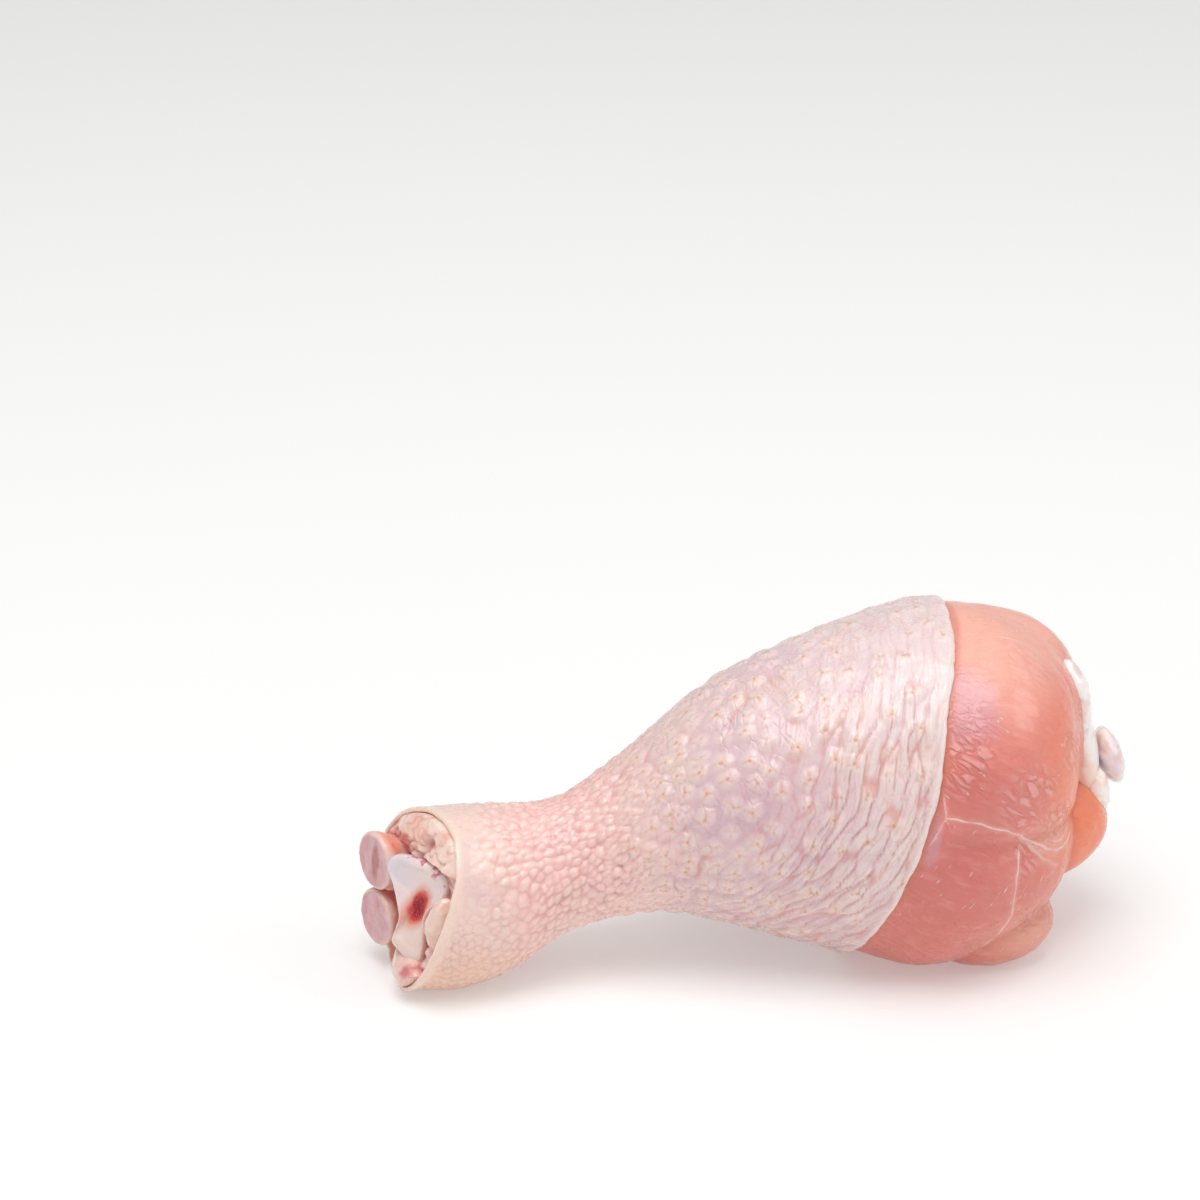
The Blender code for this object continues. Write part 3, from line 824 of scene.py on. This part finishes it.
def makeMeat():
    values = meatValues
    piece, angle, share = addGrid("meatMuscles", values["around"], values["rings"])
    under = legValues["skinThickness"] + legValues["gap"]
    closeTo = legValues["skinThickness"] * skinValues["thinEdge"] + 0.1
    start, end = mouthAt(angle) + values["setback"], skinEdgeAt(angle)
    fan = np.array(values["fanCentre"])
    capEnd, hiddenEnd, sideEnd = values["shareEnds"]
    sideways = np.stack([0 * angle, -np.sin(angle), np.cos(angle)], axis=-1)

    # the cap inside the hock, and the part that runs under the skin
    rim = legPoint(start, angle, under)
    middle = rim.mean(axis=0)
    capped = middle + (rim - middle) * np.clip(share / capEnd, 0, 1)[:, None]
    hidden = np.clip((share - capEnd) / (hiddenEnd - capEnd), 0, 1)
    closing = under + (closeTo - under) * smoothStep(0.85, 1.0, hidden)
    covered = legPoint(start + (end - start) * hidden, angle, closing)

    # the bare end: rays from inside to the outermost muscle, first sideways and then fanned out
    side = np.clip((share - hiddenEnd) / (sideEnd - hiddenEnd), 0, 1)
    fanTurn = np.radians(90 * (1 - np.clip((share - sideEnd) / (1 - sideEnd), 0, 1)))
    onSide = share <= sideEnd
    x = np.where(onSide, end + (fan[0] - end) * side, fan[0])
    origin = np.stack([x, 0 * x, 0 * x + fan[2]], axis=-1)
    ray = sideways * np.sin(fanTurn)[:, None] + np.array([1.0, 0, 0]) * np.cos(fanTurn)[:, None]
    ray = np.where(onSide[:, None], sideways, ray)
    reach, seamGap, owner, other = muscleReach(origin, ray)
    ahead = np.where(onSide, 0, 14 * np.cos(fanTurn))
    swell = smoothStep(0.2, values["blend"], x - end + ahead)[:, None]
    smooth = origin + ray * reach[:, None]
    sx, sy, sz = smooth.T

    # grooves along the seams, slow waves and short fibres
    seamShare = np.array(values["seamShare"])
    seam = bell(seamGap, 0.75) * np.minimum(seamShare[owner], seamShare[other])
    waves = 0.34 * layeredNoise(smooth, 8.0, 81, 2) + 0.13 * layeredNoise(smooth, 2.8, 83, 2)
    fibreAxis = np.stack([sx * 0.5, sy, sz + sx * 0.35], axis=-1)
    relief = waves + 0.06 * softNoise(fibreAxis, (4.0, 0.9, 0.9), 85) - 0.35 * seam

    # fascia: thin raised lines, each in a shallow furrow
    underSkin = legPoint(x, angle, closeTo + (under - closeTo) * smoothStep(-3.0, -9.0, x - end))
    lying = underSkin + (smooth - underSkin) * swell
    fascia, lineAcross, nearest = np.zeros(len(x)), np.full(len(x), 9.0), np.full(len(x), 1e9)
    for width, height, strength, line in values["fasciaLines"]:
        away, signed = acrossLine(lying, line, ray)
        signed = signed + 0.3 * softNoise(lying, 2.2, 87)
        closer = away < nearest
        beside = smoothStep(2.4, 1.0, away)
        lineAcross = np.where(closer, signed / width, lineAcross)
        fascia = np.where(closer, strength * beside, fascia)
        nearest = np.minimum(nearest, away)
        relief += height * beside * bell(signed, 2.0 * width) - 0.24 * bell(away, 1.6)

    # crumpled patches, and the dent beside the cartilage
    crumpled = np.zeros(len(x))
    slanted = np.stack([sx + 0.6 * sz, sy, sz * 0.5 - sx * 0.3], axis=-1)
    for number, (centre, radius, size, depth) in enumerate(values["crumples"]):
        away = np.linalg.norm(lying - np.array(centre), axis=1) / radius
        here = smoothStep(1.15, 0.45, away)
        lines = np.abs(layeredNoise(slanted, (size, size * 1.6, size * 1.6), 200 + number, 3))
        relief += depth * here * (lines ** 0.6 - 0.55)
        crumpled = np.maximum(crumpled, here)
    dentCentre, dentHalf, dentDepth = values["dent"]
    relief -= dentDepth * softSpot(smooth, dentCentre, dentHalf)

    bare = origin + ray * (reach + relief)[:, None]
    shown = underSkin + (bare - underSkin) * swell
    hiddenPart = np.where((share <= capEnd)[:, None], capped, covered)
    points = np.where((share <= hiddenEnd)[:, None], hiddenPart, shown)
    points[:, 2] = np.maximum(points[:, 2], 0.0)
    placePoints(piece, points)
    fromEdge = x - end + np.where(onSide, 0, 20.0)
    bared = smoothStep(0.2, 1.6, fromEdge)
    storeValues(
        piece,
        seam=seam * swell[:, 0],
        fascia=fascia * bared,
        lineAcross=lineAcross,
        crumpled=crumpled * bared,
        kneeSide=(owner == list(values["muscles"]).index("kneeSide")) * smoothStep(0, 2.5, seamGap),
        fromEdge=fromEdge,
    )
    for name in ("lilacFlapAndPaintedSheen", "dusk", "glow", "peachy"):
        spots = [softSpot(smooth, *spot) for spot in values[name]]
        storeValues(piece, **{name: np.clip(np.sum(spots, axis=0), 0, 1)})
    return piece


def meatFinish():
    f = Finish("chickenMeat", roughness=0.24, coat=0.15, subsurface=0.25, reach=0.0035, shine=0.65)
    z = f.axis("Z") * perMetre
    soft = f.noise(45, 3) - 0.5
    cloudy = f.noise(120, 4)
    lilacFlapAndPaintedSheen, glow, fascia = (f.value(name) for name in ("lilacFlapAndPaintedSheen", "glow", "fascia"))
    lilac = f.mask(lilacFlapAndPaintedSheen + (f.noise(210, 3) - 0.5) * 0.5, 0.25, 0.7)
    vessels = f.noise(130, 2, 0.4, distortion=1.5)
    vessel = f.mask(vessels, 0.46, 0.5) * f.mask(vessels, 0.54, 0.5) * f.mask(z, 40, 46) * lilacFlapAndPaintedSheen
    fibres = f.noise(900, 3, 0.5, f.stretched((0.22, 1.0, 1.0), (0.0, 0.35, 0.0)))
    # short painted glints, pale strokes which fall away above the fascia line and rise below it
    falling = f.noise(2100, 1, 0.3, f.stretched((0.22, 1.0, 1.0), (0.0, 0.75, 0.0)))
    rising = f.noise(2100, 1, 0.3, f.stretched((0.22, 1.0, 1.0), (0.0, -0.85, 0.0)))
    upper = f.mask(z, 32, 37)
    paintedGlints = f.mask(falling * upper + rising * (1 - upper), 0.68, 0.78)
    paintedGlints = paintedGlints * f.patches(120, 2, 0.42, 0.58)
    # wet fascia: patches of fine crumpled skin, and faint ones everywhere
    diagonal = f.shaken(f.stretched((0.34, 0.8, 1.0), (0.0, 0.65, 0.0)), 300, 0.0040)
    crumple = f.cracks(640, diagonal)
    film = f.value("crumpled") * f.mask(z, 56, 46, 0.35, 1.0) * f.mask(z, 9, 14, 0.5, 1.0)
    faint = f.patches(55, 2, 0.5, 0.62) * f.mask(z, 50, 44) * 0.3
    # the thin white lines, broken here and there
    streaky = f.patches(330, 3, 0.32, 0.6)
    fromLine = f.value("lineAcross") + (f.noise(900, 2) - 0.5) * 0.9
    fromLine = f.sum("ABSOLUTE", fromLine, 0.0)
    line = f.mask(fromLine, 1.3, 0.5) * fascia
    base = f.paint(
        "#D8786C",
        # painted shade below and painted light on top, from dusky to pale
        (f.mask(z + soft * 16, 4, 40), "#E88C80"),
        (f.mask(z + soft * 12, 44, 57), "#F5B5A3"),
        (glow * 0.85, "#F78A64"),
        (f.value("kneeSide") * 0.6, "#F59370"),
        (f.mask(cloudy, 0.5, 0.72) * 0.3, "#E79390"),
        (f.value("dusk") * 0.6, "#CD6965"),
        # painted reflection as a lilac patch high on the left, and the membrane flap's own lilac
        # beside the skin
        (lilac * 0.7, "#D898A2"),
        (vessel * 0.3, "#C4656C"),
        (f.value("peachy") * 0.8, "#F2B59E"),
        # fibres and painted glints
        (f.mask(fibres, 0.5, 0.75) * 0.2, "#F8BDB0"),
        (f.mask(fibres, 0.5, 0.25) * 0.12, "#D07A70"),
        (paintedGlints * 0.6, "#FCE6E0"),
        # crumples: painted shade in the dark lines round pale plates of painted highlight
        (f.mask(crumple, 0.09, 0.0) * film * 0.35, "#D0716A"),
        (f.mask(crumple, 0.10, 0.26) * film * 0.5, "#F3B8B2"),
        (glow * 0.45, "#F58A62"),
        (f.value("seam") * 0.4, "#C9665C"),
        # the white lines with their halo, and the shade beside the skin
        (line * (streaky * 0.45 + 0.4), "#FBE0D8"),
        (f.mask(fromLine, 6.0, 1.0) * fascia * 0.25, "#F3B9AE"),
        (f.mask(f.value("fromEdge"), 1.6, 0.3) * 0.6, "#D97F6C"),
    )
    ripples = f.noise(240, 4, 0.55, f.stretched((0.5, 1.0, 1.0), (0.0, 0.5, 0.0)), 0.6)
    wrinkled = film * 0.8 + faint + lilacFlapAndPaintedSheen * 0.4 * f.mask(z, 54, 47, 0.3, 1.0)
    normal = f.bump(ripples * f.mask(z, 56, 44, 0.3, 1.0), 0.5, 0.0011)
    normal = f.bump(f.mask(crumple, 0.0, 0.24) * wrinkled, 0.6, 0.00042, normal)
    normal = f.bump(fibres, 0.25, 0.0003, normal)
    normal = f.bump(paintedGlints, 0.6, 0.0002, normal)
    roughness = f.mask(cloudy, 0.35, 0.7, 0.26, 0.40) - lilacFlapAndPaintedSheen * 0.08
    return f.wear(colour=base, roughness=roughness, normal=normal)


# The bone

boneValues = {
    "knuckleGrid": (220, 110),
    "plateGrid": (128, 96),
    "shaftGrid": (48, 40),
    "shaftRadius": 4.2,
    "shaftStart": (8.6, 0.2, 14.2),
    "shaftEnd": (116.0, 3.0, 33.0),
    "faceCentre": (3.7, -4.8, 16.2),
    "faceAim": (-0.66, -0.68, 0.32),
    # the hock end seen end on: across and up
    "outline": (
        (-8.4, 2.2), (-8.3, 4.0), (-6.9, 5.4), (-3.8, 6.4), (-1.4, 7.0), (0.9, 7.3), (2.9, 7.1),
        (4.1, 6.1), (4.5, 4.4), (4.1, 2.5), (3.0, 0.5), (3.0, -1.8), (4.2, -4.2), (5.4, -7.2),
        (5.2, -9.2), (3.4, -9.7), (1.1, -9.1), (-1.0, -8.5), (-1.4, -6.4), (-1.8, -4.2),
        (-3.4, -2.2), (-5.8, 0.2),
    ),
    # share of the outline and depth, from the face back to the shaft
    "profile": (
        (0.0, -1.4), (0.2, -1.35), (0.4, -1.15), (0.7, -0.5), (0.88, 0.0), (0.97, -0.3),
        (1.0, -1.1), (0.97, -3.0), (0.93, -4.6), (0.6, -8.0), (0.3, -9.2), (0.0, -9.5),
    ),
    "plateCentre": (120.0, 2.6, 33.2),
    "plateHalf": (4.2, 9.0, 13.0),
    "plateLean": math.radians(13),
    # roughness of the surfaces
    "knuckleRough": 0.10,
    "plateRough": 0.35,
}


def closedCurve(points, share):
    # a smooth closed curve through the points
    points = np.asarray(points, float)
    count = len(points)
    place = np.mod(share, 1.0) * count
    i = np.floor(place).astype(int)
    t = (place - i)[:, None]
    before, here, after, later = (points[(i + k) % count] for k in (-1, 0, 1, 2))
    first = (after - before) / 2
    last = (later - here) / 2
    return (
        here * (2 * t**3 - 3 * t**2 + 1)
        + first * (t**3 - 2 * t**2 + t)
        + after * (3 * t**2 - 2 * t**3)
        + last * (t**3 - t**2)
    )


def alongProfile(profile, share):
    # reach and depth along an open line through these points, with a pole at each end
    profile = np.asarray(profile, float)
    steps = np.hypot(np.diff(profile[:, 0]) * 8, np.diff(profile[:, 1]))
    places = np.concatenate([[0.0], np.cumsum(steps)])
    places /= places[-1]
    reach = np.maximum(curveThrough(places, profile[:, 0], share), 0)
    reach = np.where((share <= 0) | (share >= 1), 0.0, reach)
    return reach, curveThrough(places, profile[:, 1], share)


def makeBone():
    out, across, up = facingAxes(boneValues["faceAim"])
    knuckle, turn, share = addGrid("boneKnuckle", *boneValues["knuckleGrid"])
    reach, depth = alongProfile(boneValues["profile"], share)
    flat = closedCurve(boneValues["outline"], turn / (2 * math.pi)) * reach[:, None]
    points = np.array(boneValues["faceCentre"]) + flat[:, :1] * across + flat[:, 1:] * up
    points = points + depth[:, None] * out
    rough = boneValues["knuckleRough"] * layeredNoise(points, 2.4, 91, 2)
    placePoints(knuckle, points + out * rough[:, None])
    storeVector(knuckle, "face", np.stack([flat[:, 0], flat[:, 1], depth], axis=-1))
    storeValues(knuckle, hockEnd=np.ones(len(turn)))

    plate, turn, share = addGrid("bonePlate", *boneValues["plateGrid"])
    ball = ballAround(turn, share)
    local = ball * boneValues["plateHalf"]
    points = leaned(local, boneValues["plateLean"]) + boneValues["plateCentre"]
    rough = boneValues["plateRough"] * layeredNoise(points, 5.0, 93, 3)
    placePoints(plate, points + ball * rough[:, None])
    storeVector(plate, "face", local)
    storeValues(plate, hockEnd=np.zeros(len(turn)))

    shaft, turn, share = addGrid("boneShaft", *boneValues["shaftGrid"])
    begin, finish = np.array(boneValues["shaftStart"]), np.array(boneValues["shaftEnd"])
    along = unit(finish - begin)
    side = unit(np.cross(along, (0, 0, 1)))
    rise = np.cross(side, along)
    rounded = np.sqrt(np.clip(1 - (2 * share - 1) ** 12, 0, 1))
    radius = boneValues["shaftRadius"] * (1 + 0.6 * share**4) * rounded
    circle = np.cos(turn)[:, None] * rise + np.sin(turn)[:, None] * side
    placePoints(shaft, begin + (finish - begin) * share[:, None] + circle * radius[:, None])
    storeVector(shaft, "face", np.zeros((len(turn), 3)))
    storeValues(shaft, hockEnd=np.zeros(len(turn)))

    for part in (plate, shaft, knuckle):
        closeUp(part)
    for part in (plate, shaft, knuckle):
        part.select_set(True)
    bpy.context.view_layer.objects.active = knuckle
    bpy.ops.object.join()
    knuckle.name = "boneEnds"
    knuckle.data.name = "boneEnds"
    return knuckle


def boneFinish():
    f = Finish("boneAndCartilage", roughness=0.2, coat=0.8, subsurface=0.15, reach=0.002)
    across, up = (f.axis(which, f.vector("face")) for which in "XY")
    atHock = f.value("hockEnd")
    ripple = f.noise(330, 3) - 0.5
    # the marrow shows through the saddle
    a = (across - 0.2 + ripple * 1.1) / 1.6
    b = (up + 0.7 + ripple * 1.3) / 2.7
    distance = (a * a + b * b) ** 0.5
    marrow = f.paint(
        "#D43B37",
        (f.mask(distance, 0.95, 0.45), "#9C1B2D"),
        (f.patches(1500, 2, 0.5, 0.7) * 0.7, "#6E1826"),
        (f.patches(3600, 1, 0.62, 0.7) * 0.4, "#E79A98"),
    )
    knee = f.paint(
        "#FDF4F3",
        (f.patches(150, 3, 0.5, 0.66), "#FBE0D2"),
        (f.patches(210, 3, 0.56, 0.7) * 0.6, "#E9B49C"),
    )
    tinted = f.paint(
        "#EAD0C6",
        (f.mask(up + ripple * 4, -4.5, -1.5), "#F4DFDC"),
        (f.patches(120, 3, 0.48, 0.66) * 0.5, "#F0DDD6"),
        (f.mask(across + ripple * 3, -1.0, -6.5) * 0.5, "#DAD8E6"),
        (f.mask(distance, 1.9, 1.0) * atHock * 0.8, "#E58F72"),
        (f.mask(distance, 1.3, 0.85) * atHock, marrow),
        (f.patches(620, 2, 0.52, 0.60) * f.mask(up, 5.0, 6.0) * atHock * 0.8, "#CF5F66"),
        (1 - atHock, knee),
    )
    return f.wear(colour=tinted, normal=f.bump(f.noise(700, 3), 0.15, 0.0004))


# The cut tendons

stubValues = {
    "grid": (160, 90),
    "aim": (-0.90, -0.38, 0.04),
    "under": 1.6,
    # middle of the cut face, radius, strength of the dark streak, seed
    "upper": ((-1.7, 5.7, 19.5), 5.15, 0.8, 111),
    "lower": ((-1.7, 5.4, 9.0), 5.1, 0.15, 113),
    # share of the radius and depth, from the face back
    "profile": (
        (0.0, 0.25), (0.3, 0.32), (0.6, 0.25), (0.80, 0.28), (0.92, 0.28), (0.985, -0.2),
        (0.98, -0.9), (0.84, -2.6), (0.6, -5.6), (0.45, -10.0), (0.0, -11.0),
    ),
}


def keepInside(points, under):
    # nothing soft pokes through the skin
    halfWidth, halfHeight, centre = legSection(points[:, 0])
    centre = centre - legValues["restDepth"]
    away = points[:, 2] - centre
    reach = np.hypot(points[:, 1] / (halfWidth - under), away / (halfHeight - under))
    share = np.minimum(1.0, 1.0 / np.maximum(reach, 1e-6))
    kept = points.copy()
    kept[:, 1] = points[:, 1] * share
    kept[:, 2] = np.maximum(centre + away * share, under)
    return kept


def makeStub(name, centre, radius, seed):
    out, across, up = facingAxes(stubValues["aim"])
    piece, turn, share = addGrid(name, *stubValues["grid"])
    reach, depth = alongProfile(stubValues["profile"], share)
    circle = np.cos(turn)[:, None] * up + np.sin(turn)[:, None] * across
    points = np.array(centre) + out * depth[:, None] + circle * (radius * reach)[:, None]
    wrinkle = layeredNoise(points, (3.0, 1.4, 1.4), seed, 3)
    onSide = smoothStep(0.2, -1.5, depth)
    points = points + circle * (0.25 * wrinkle * onSide)[:, None]
    points = points + out * (0.12 * wrinkle * (1 - onSide))[:, None]
    placePoints(piece, keepInside(points, stubValues["under"]))
    local = np.stack([np.sin(turn) * reach * radius, np.cos(turn) * reach * radius, depth], axis=-1)
    storeVector(piece, "face", local)
    storeValues(piece, onSide=onSide, reach=reach)
    return piece


def stubFinish(name, streak):
    f = Finish(name, roughness=0.25, coat=0.35, subsurface=0.3, reach=0.0025)
    across, up = (f.axis(which, f.vector("face")) for which in "XY")
    ripple = f.noise(300, 3) - 0.5
    core = (((across - 0.5 + ripple * 2.2) / 1.15) ** 2 + ((up + 0.1) / 3.4) ** 2) ** 0.5
    lines = f.noise(700, 3, 0.5, f.stretched((1.0, 1.0, 0.3)))
    base = f.paint(
        "#D79CA3",
        (f.patches(260, 3, 0.4, 0.65), "#DDB0B4"),
        # the dark streak, the fine lines, the pale rim and the side
        (f.mask(core, 1.5, 0.55) * streak, "#AC524D"),
        (f.mask(lines, 0.5, 0.7) * 0.35, "#B98A97"),
        (f.mask(f.value("reach") + ripple * 0.06, 0.84, 0.95) * 0.8, "#F0D3C6"),
        (f.value("onSide"), f.mix(f.patches(280, 3, 0.45, 0.6), "#EFA18B", "#F2B9AC")),
    )
    return f.wear(colour=base, normal=f.bump(f.noise(800, 3), 0.2, 0.0004))


# The fat in the hock

fatValues = {
    "grid": (256, 160),
    "recess": 2.6,
    "fill": 7.0,
    # height, turn round the plug and share of the way out
    "lump": (2.0, math.radians(5), 0.75),
    # shares of the rows at which the face and the side end
    "shareEnds": (0.7, 0.85),
    "topForward": 2.2,
    "pit": (-2.2, 25.6, 1.3, 1.2),
    "pitDepth": 1.2,
    # kept back beside the bone
    "besideDepth": 0.9,
}


def makeFat():
    piece, angle, share = addGrid("hockFatPlug", *fatValues["grid"])
    under = legValues["skinThickness"] + legValues["gap"]
    nearUnder = legValues["skinThickness"] * skinValues["thinMouth"] + 0.05
    recess, fill = fatValues["recess"], fatValues["fill"]
    faceEnd, sideEnd = fatValues["shareEnds"]
    front = np.clip(share / faceEnd, 0, 1)
    sideShare = np.clip((share - faceEnd) / (sideEnd - faceEnd), 0, 1)
    back = np.clip((1 - share) / (1 - sideEnd), 0, 1)

    # the crumbly face in the opening, fuller at the top
    rim = legPoint(mouthAt(angle) + recess, angle, nearUnder)
    middle = rim.mean(axis=0)
    faceOn = middle + (rim - middle) * front[:, None]
    y, z = faceOn[:, 1], faceOn[:, 2]
    height, turn, reach = fatValues["lump"]
    lump = height * bell(np.sin((angle - turn) / 2), 0.42) * bell(front - reach, 0.3)
    crumbs = layeredNoise(faceOn, (3.0, 2.6, 2.2), 101, 3)
    lumps = np.abs(layeredNoise(faceOn + 5.0, (2.1, 2.4, 1.9), 103, 2)) ** 0.7
    beside = smoothStep(-1.5, -4.0, y) * smoothStep(23.8, 21.6, z) * smoothStep(14.0, 16.0, z)
    rough = smoothStep(0.1, 0.3, front) * smoothStep(1.0, 0.88, front) * (1 - 0.8 * beside)
    lower = smoothStep(27.0, 23.0, z)
    pitY, pitZ, pitWide, pitHigh = fatValues["pit"]
    pit = bell(y - pitY, pitWide) * bell(z - pitZ, pitHigh)
    forward = fatValues["topForward"] * smoothStep(0.3, 0.95, np.cos(angle))
    full = forward * smoothStep(0.2, 0.9, front) + lump
    full = full + rough * (0.5 * crumbs + (0.5 + 1.3 * lower) * lumps)
    faceOn[:, 0] -= full - fatValues["pitDepth"] * pit - fatValues["besideDepth"] * beside

    # the side under the skin, and the back
    deeper = nearUnder + (under - nearUnder) * sideShare
    sideX = mouthAt(angle) + recess - forward * (1 - sideShare) + fill * sideShare
    sideOn = legPoint(sideX, angle, deeper)
    backRim = legPoint(mouthAt(angle) + recess + fill, angle, under)
    backMiddle = backRim.mean(axis=0)
    backOn = backMiddle + (backRim - backMiddle) * back[:, None]
    behind = np.where((share < sideEnd)[:, None], sideOn, backOn)
    placePoints(piece, np.where((share < faceEnd)[:, None], faceOn, behind))
    storeValues(piece, pebble=np.clip(1.6 * lumps, 0, 1), pit=pit)
    return piece


def fatFinish():
    f = Finish("hockFat", roughness=0.28, coat=0.6, subsurface=0.25, reach=0.0025)
    z = f.axis("Z") * perMetre
    y = f.axis("Y") * perMetre
    cream = f.mix(f.patches(210, 3, 0.42, 0.62), "#FCDDD0", "#FACBB9")
    flesh = f.mix(f.patches(300, 3, 0.45, 0.6), "#EFC0BA", "#DD8A88")
    jelly = f.mix(f.patches(420, 3, 0.45, 0.62), "#E58E8C", "#C95F66")
    farSide = f.mask(y + (f.noise(300, 3) - 0.5) * 4, 2.0, 4.5) * f.mask(z, 25.5, 23.0)
    base = f.paint(
        flesh,
        (f.mask(z + (f.noise(260, 3) - 0.5) * 10, 20, 24), cream),
        (farSide, jelly),
        # dark between the lumps, pale on them, red in the pit
        (f.mask(f.value("pebble"), 0.45, 0.0) * 0.6, "#E59C90"),
        (f.mask(f.value("pebble"), 0.6, 0.95) * 0.4, "#FAEAE2"),
        (f.value("pit") * 0.85, "#B8474A"),
    )
    return f.wear(colour=base, normal=f.bump(f.noise(900, 3), 0.2, 0.0004))


# Small soft scraps at both ends

scrapGrid = (120, 80)
# centre, half sizes, lean in degrees, how far it keeps under the leg's outline, slot, two colours
# and the strength of a red core
scrapValues = {
    "hock_pad": (
        (2.8, -5.6, 4.3), (3.3, 7.2, 3.3), 0, 0.95, "tendon", "#F1C8C0", "#E8ADA6", 0.7,
    ),
    "hock_sinew": (
        (7.8, -11.5, 14.4), (3.4, 2.2, 5.4), 0, 1.6, "tendon", "#F3D6C8", "#EDC3B5", 0,
    ),
    "knee_cap": (
        (126.7, 0.5, 30.6), (2.2, 5.2, 5.0), 16, 0, "cartilage", "#F2E6EC", "#F8E6E0", 0,
    ),
    "knee_tendon": (
        (123.2, -3.4, 26.0), (2.4, 3.0, 4.4), 8, 0, "cartilage", "#FFF6F0", "#FBE6D8", 0,
    ),
    "knee_ligament": (
        (118.3, -3.4, 44.2), (2.5, 4.4, 7.0), 14, 0, "cartilage", "#FFF8F8", "#FEF0EA", 0,
    ),
}


def makeScrap(node, centre, half, lean, under, seed):
    piece, turn, share = addGrid(node.replace("_", "") + "Form", *scrapGrid)
    ball = ballAround(turn, share)
    points = np.array(centre) + ball * half
    wrinkle = layeredNoise(points, 2.6, seed, 3)
    away = points + ball * (0.4 * wrinkle)[:, None] - centre
    points = centre + leaned(away, math.radians(lean))
    if under:
        points = keepInside(points, under)
    placePoints(piece, points)
    storeValues(piece, wrinkle=wrinkle)
    storeVector(piece, "face", away)
    return piece


def scrapFinish(name, first, second, core):
    f = Finish(name, roughness=0.2, coat=0.8, subsurface=0.12, reach=0.002)
    across, up = (f.axis(which, f.vector("face")) for which in "YZ")
    ripple = f.noise(420, 3) - 0.5
    wide = (across + 4.2 + ripple * 2.6) / 1.5
    high = (up - 1.9 + ripple * 2.0) / 1.2
    base = f.paint(
        first,
        (f.patches(240, 3, 0.46, 0.64), second),
        (f.mask(f.value("wrinkle"), 0.0, -0.5) * 0.4, "#E8AD98"),
        (f.mask((wide ** 2 + high ** 2) ** 0.5, 1.2, 0.3) * core, "#C84C52"),
    )
    return f.wear(colour=base, normal=f.bump(f.noise(800, 3), 0.2, 0.0004))


def makeLeg():
    finishPiece(makeSkin(), skinFinish(), "skin")
    finishPiece(makeMeat(), meatFinish(), "meat")
    finishPiece(makeBone(), boneFinish(), "shin_bone")
    for side in ("upper", "lower"):
        centre, radius, streak, seed = stubValues[side]
        stub = makeStub(side + "TendonStub", centre, radius, seed)
        finishPiece(stub, stubFinish(side + "Tendon", streak), "tendon_stub_" + side)
    finishPiece(makeFat(), fatFinish(), "hock_fat")
    for number, (node, values) in enumerate(scrapValues.items()):
        centre, half, lean, under, slot, first, second, core = values
        piece = makeScrap(node, centre, half, lean, under, 121 + 10 * number)
        finishPiece(piece, scrapFinish(node + "Finish", first, second, core), node)


# Floor, light and camera

studioValues = {
    "floorSize": 6.0,
    "floorColour": "#D6D6D5",
    "floorGlow": 0.29,
    "cameraPlace": (-0.12413, -0.50177, 0.27307),
    "cameraTurn": (68.0, 0.0, -11.0),
    "lens": 100.0,
    # name, place, target, size, power, colour
    "lamps": (
        ("keySoftbox", (-0.18, -0.22, 1.06), (0.0, 0.0, 0.03), 0.72, 6.4, (1.0, 1.0, 1.0)),
        ("skySoftbox", (0.05, -0.02, 1.30), (0.0, 0.0, 0.03), 2.0, 5.0, (1.0, 1.0, 1.0)),
        ("kneeSoftbox", (0.80, -0.35, 0.60), (0.04, 0.0, 0.03), 0.40, 1.4, (1.0, 0.99, 0.98)),
    ),
    "skyStrength": 0.395,
}


def setStudio():
    bpy.ops.mesh.primitive_plane_add(size=studioValues["floorSize"], location=(0, 0, 0))
    floor = bpy.context.object
    floor.name = "floor"
    f = Finish("paleFloor", roughness=0.7)
    tone = f.mix(f.noise(3.0, 2), studioValues["floorColour"], "#DADAD9")
    f.shader.inputs["Emission Color"].default_value = (1.0, 1.0, 1.0, 1.0)
    f.shader.inputs["Emission Strength"].default_value = studioValues["floorGlow"]
    floor.data.materials.append(f.wear(colour=tone))
    for name, place, target, size, power, tint in studioValues["lamps"]:
        bpy.ops.object.light_add(type="AREA", location=place)
        lamp = bpy.context.object
        lamp.name = name
        lamp.data.shape = "SQUARE"
        lamp.data.size = size
        lamp.data.energy = power
        lamp.data.color = tint
        aim = Vector(target) - Vector(place)
        lamp.rotation_euler = aim.to_track_quat("-Z", "Y").to_euler()
    world = bpy.data.worlds.new("studioSky")
    world.use_nodes = True
    sky = world.node_tree.nodes["Background"]
    sky.inputs["Color"].default_value = (1.0, 1.0, 1.0, 1.0)
    sky.inputs["Strength"].default_value = studioValues["skyStrength"]
    bpy.context.scene.world = world
    bpy.ops.object.camera_add(
        location=studioValues["cameraPlace"],
        rotation=[math.radians(v) for v in studioValues["cameraTurn"]],
    )
    camera = bpy.context.object
    camera.name = "camera"
    camera.data.lens = studioValues["lens"]
    camera.data.sensor_width = 36.0
    camera.data.clip_start = 0.01
    bpy.context.scene.camera = camera
    bpy.context.scene.view_settings.view_transform = "Standard"
    print("studio set")


makeLeg()
setStudio()
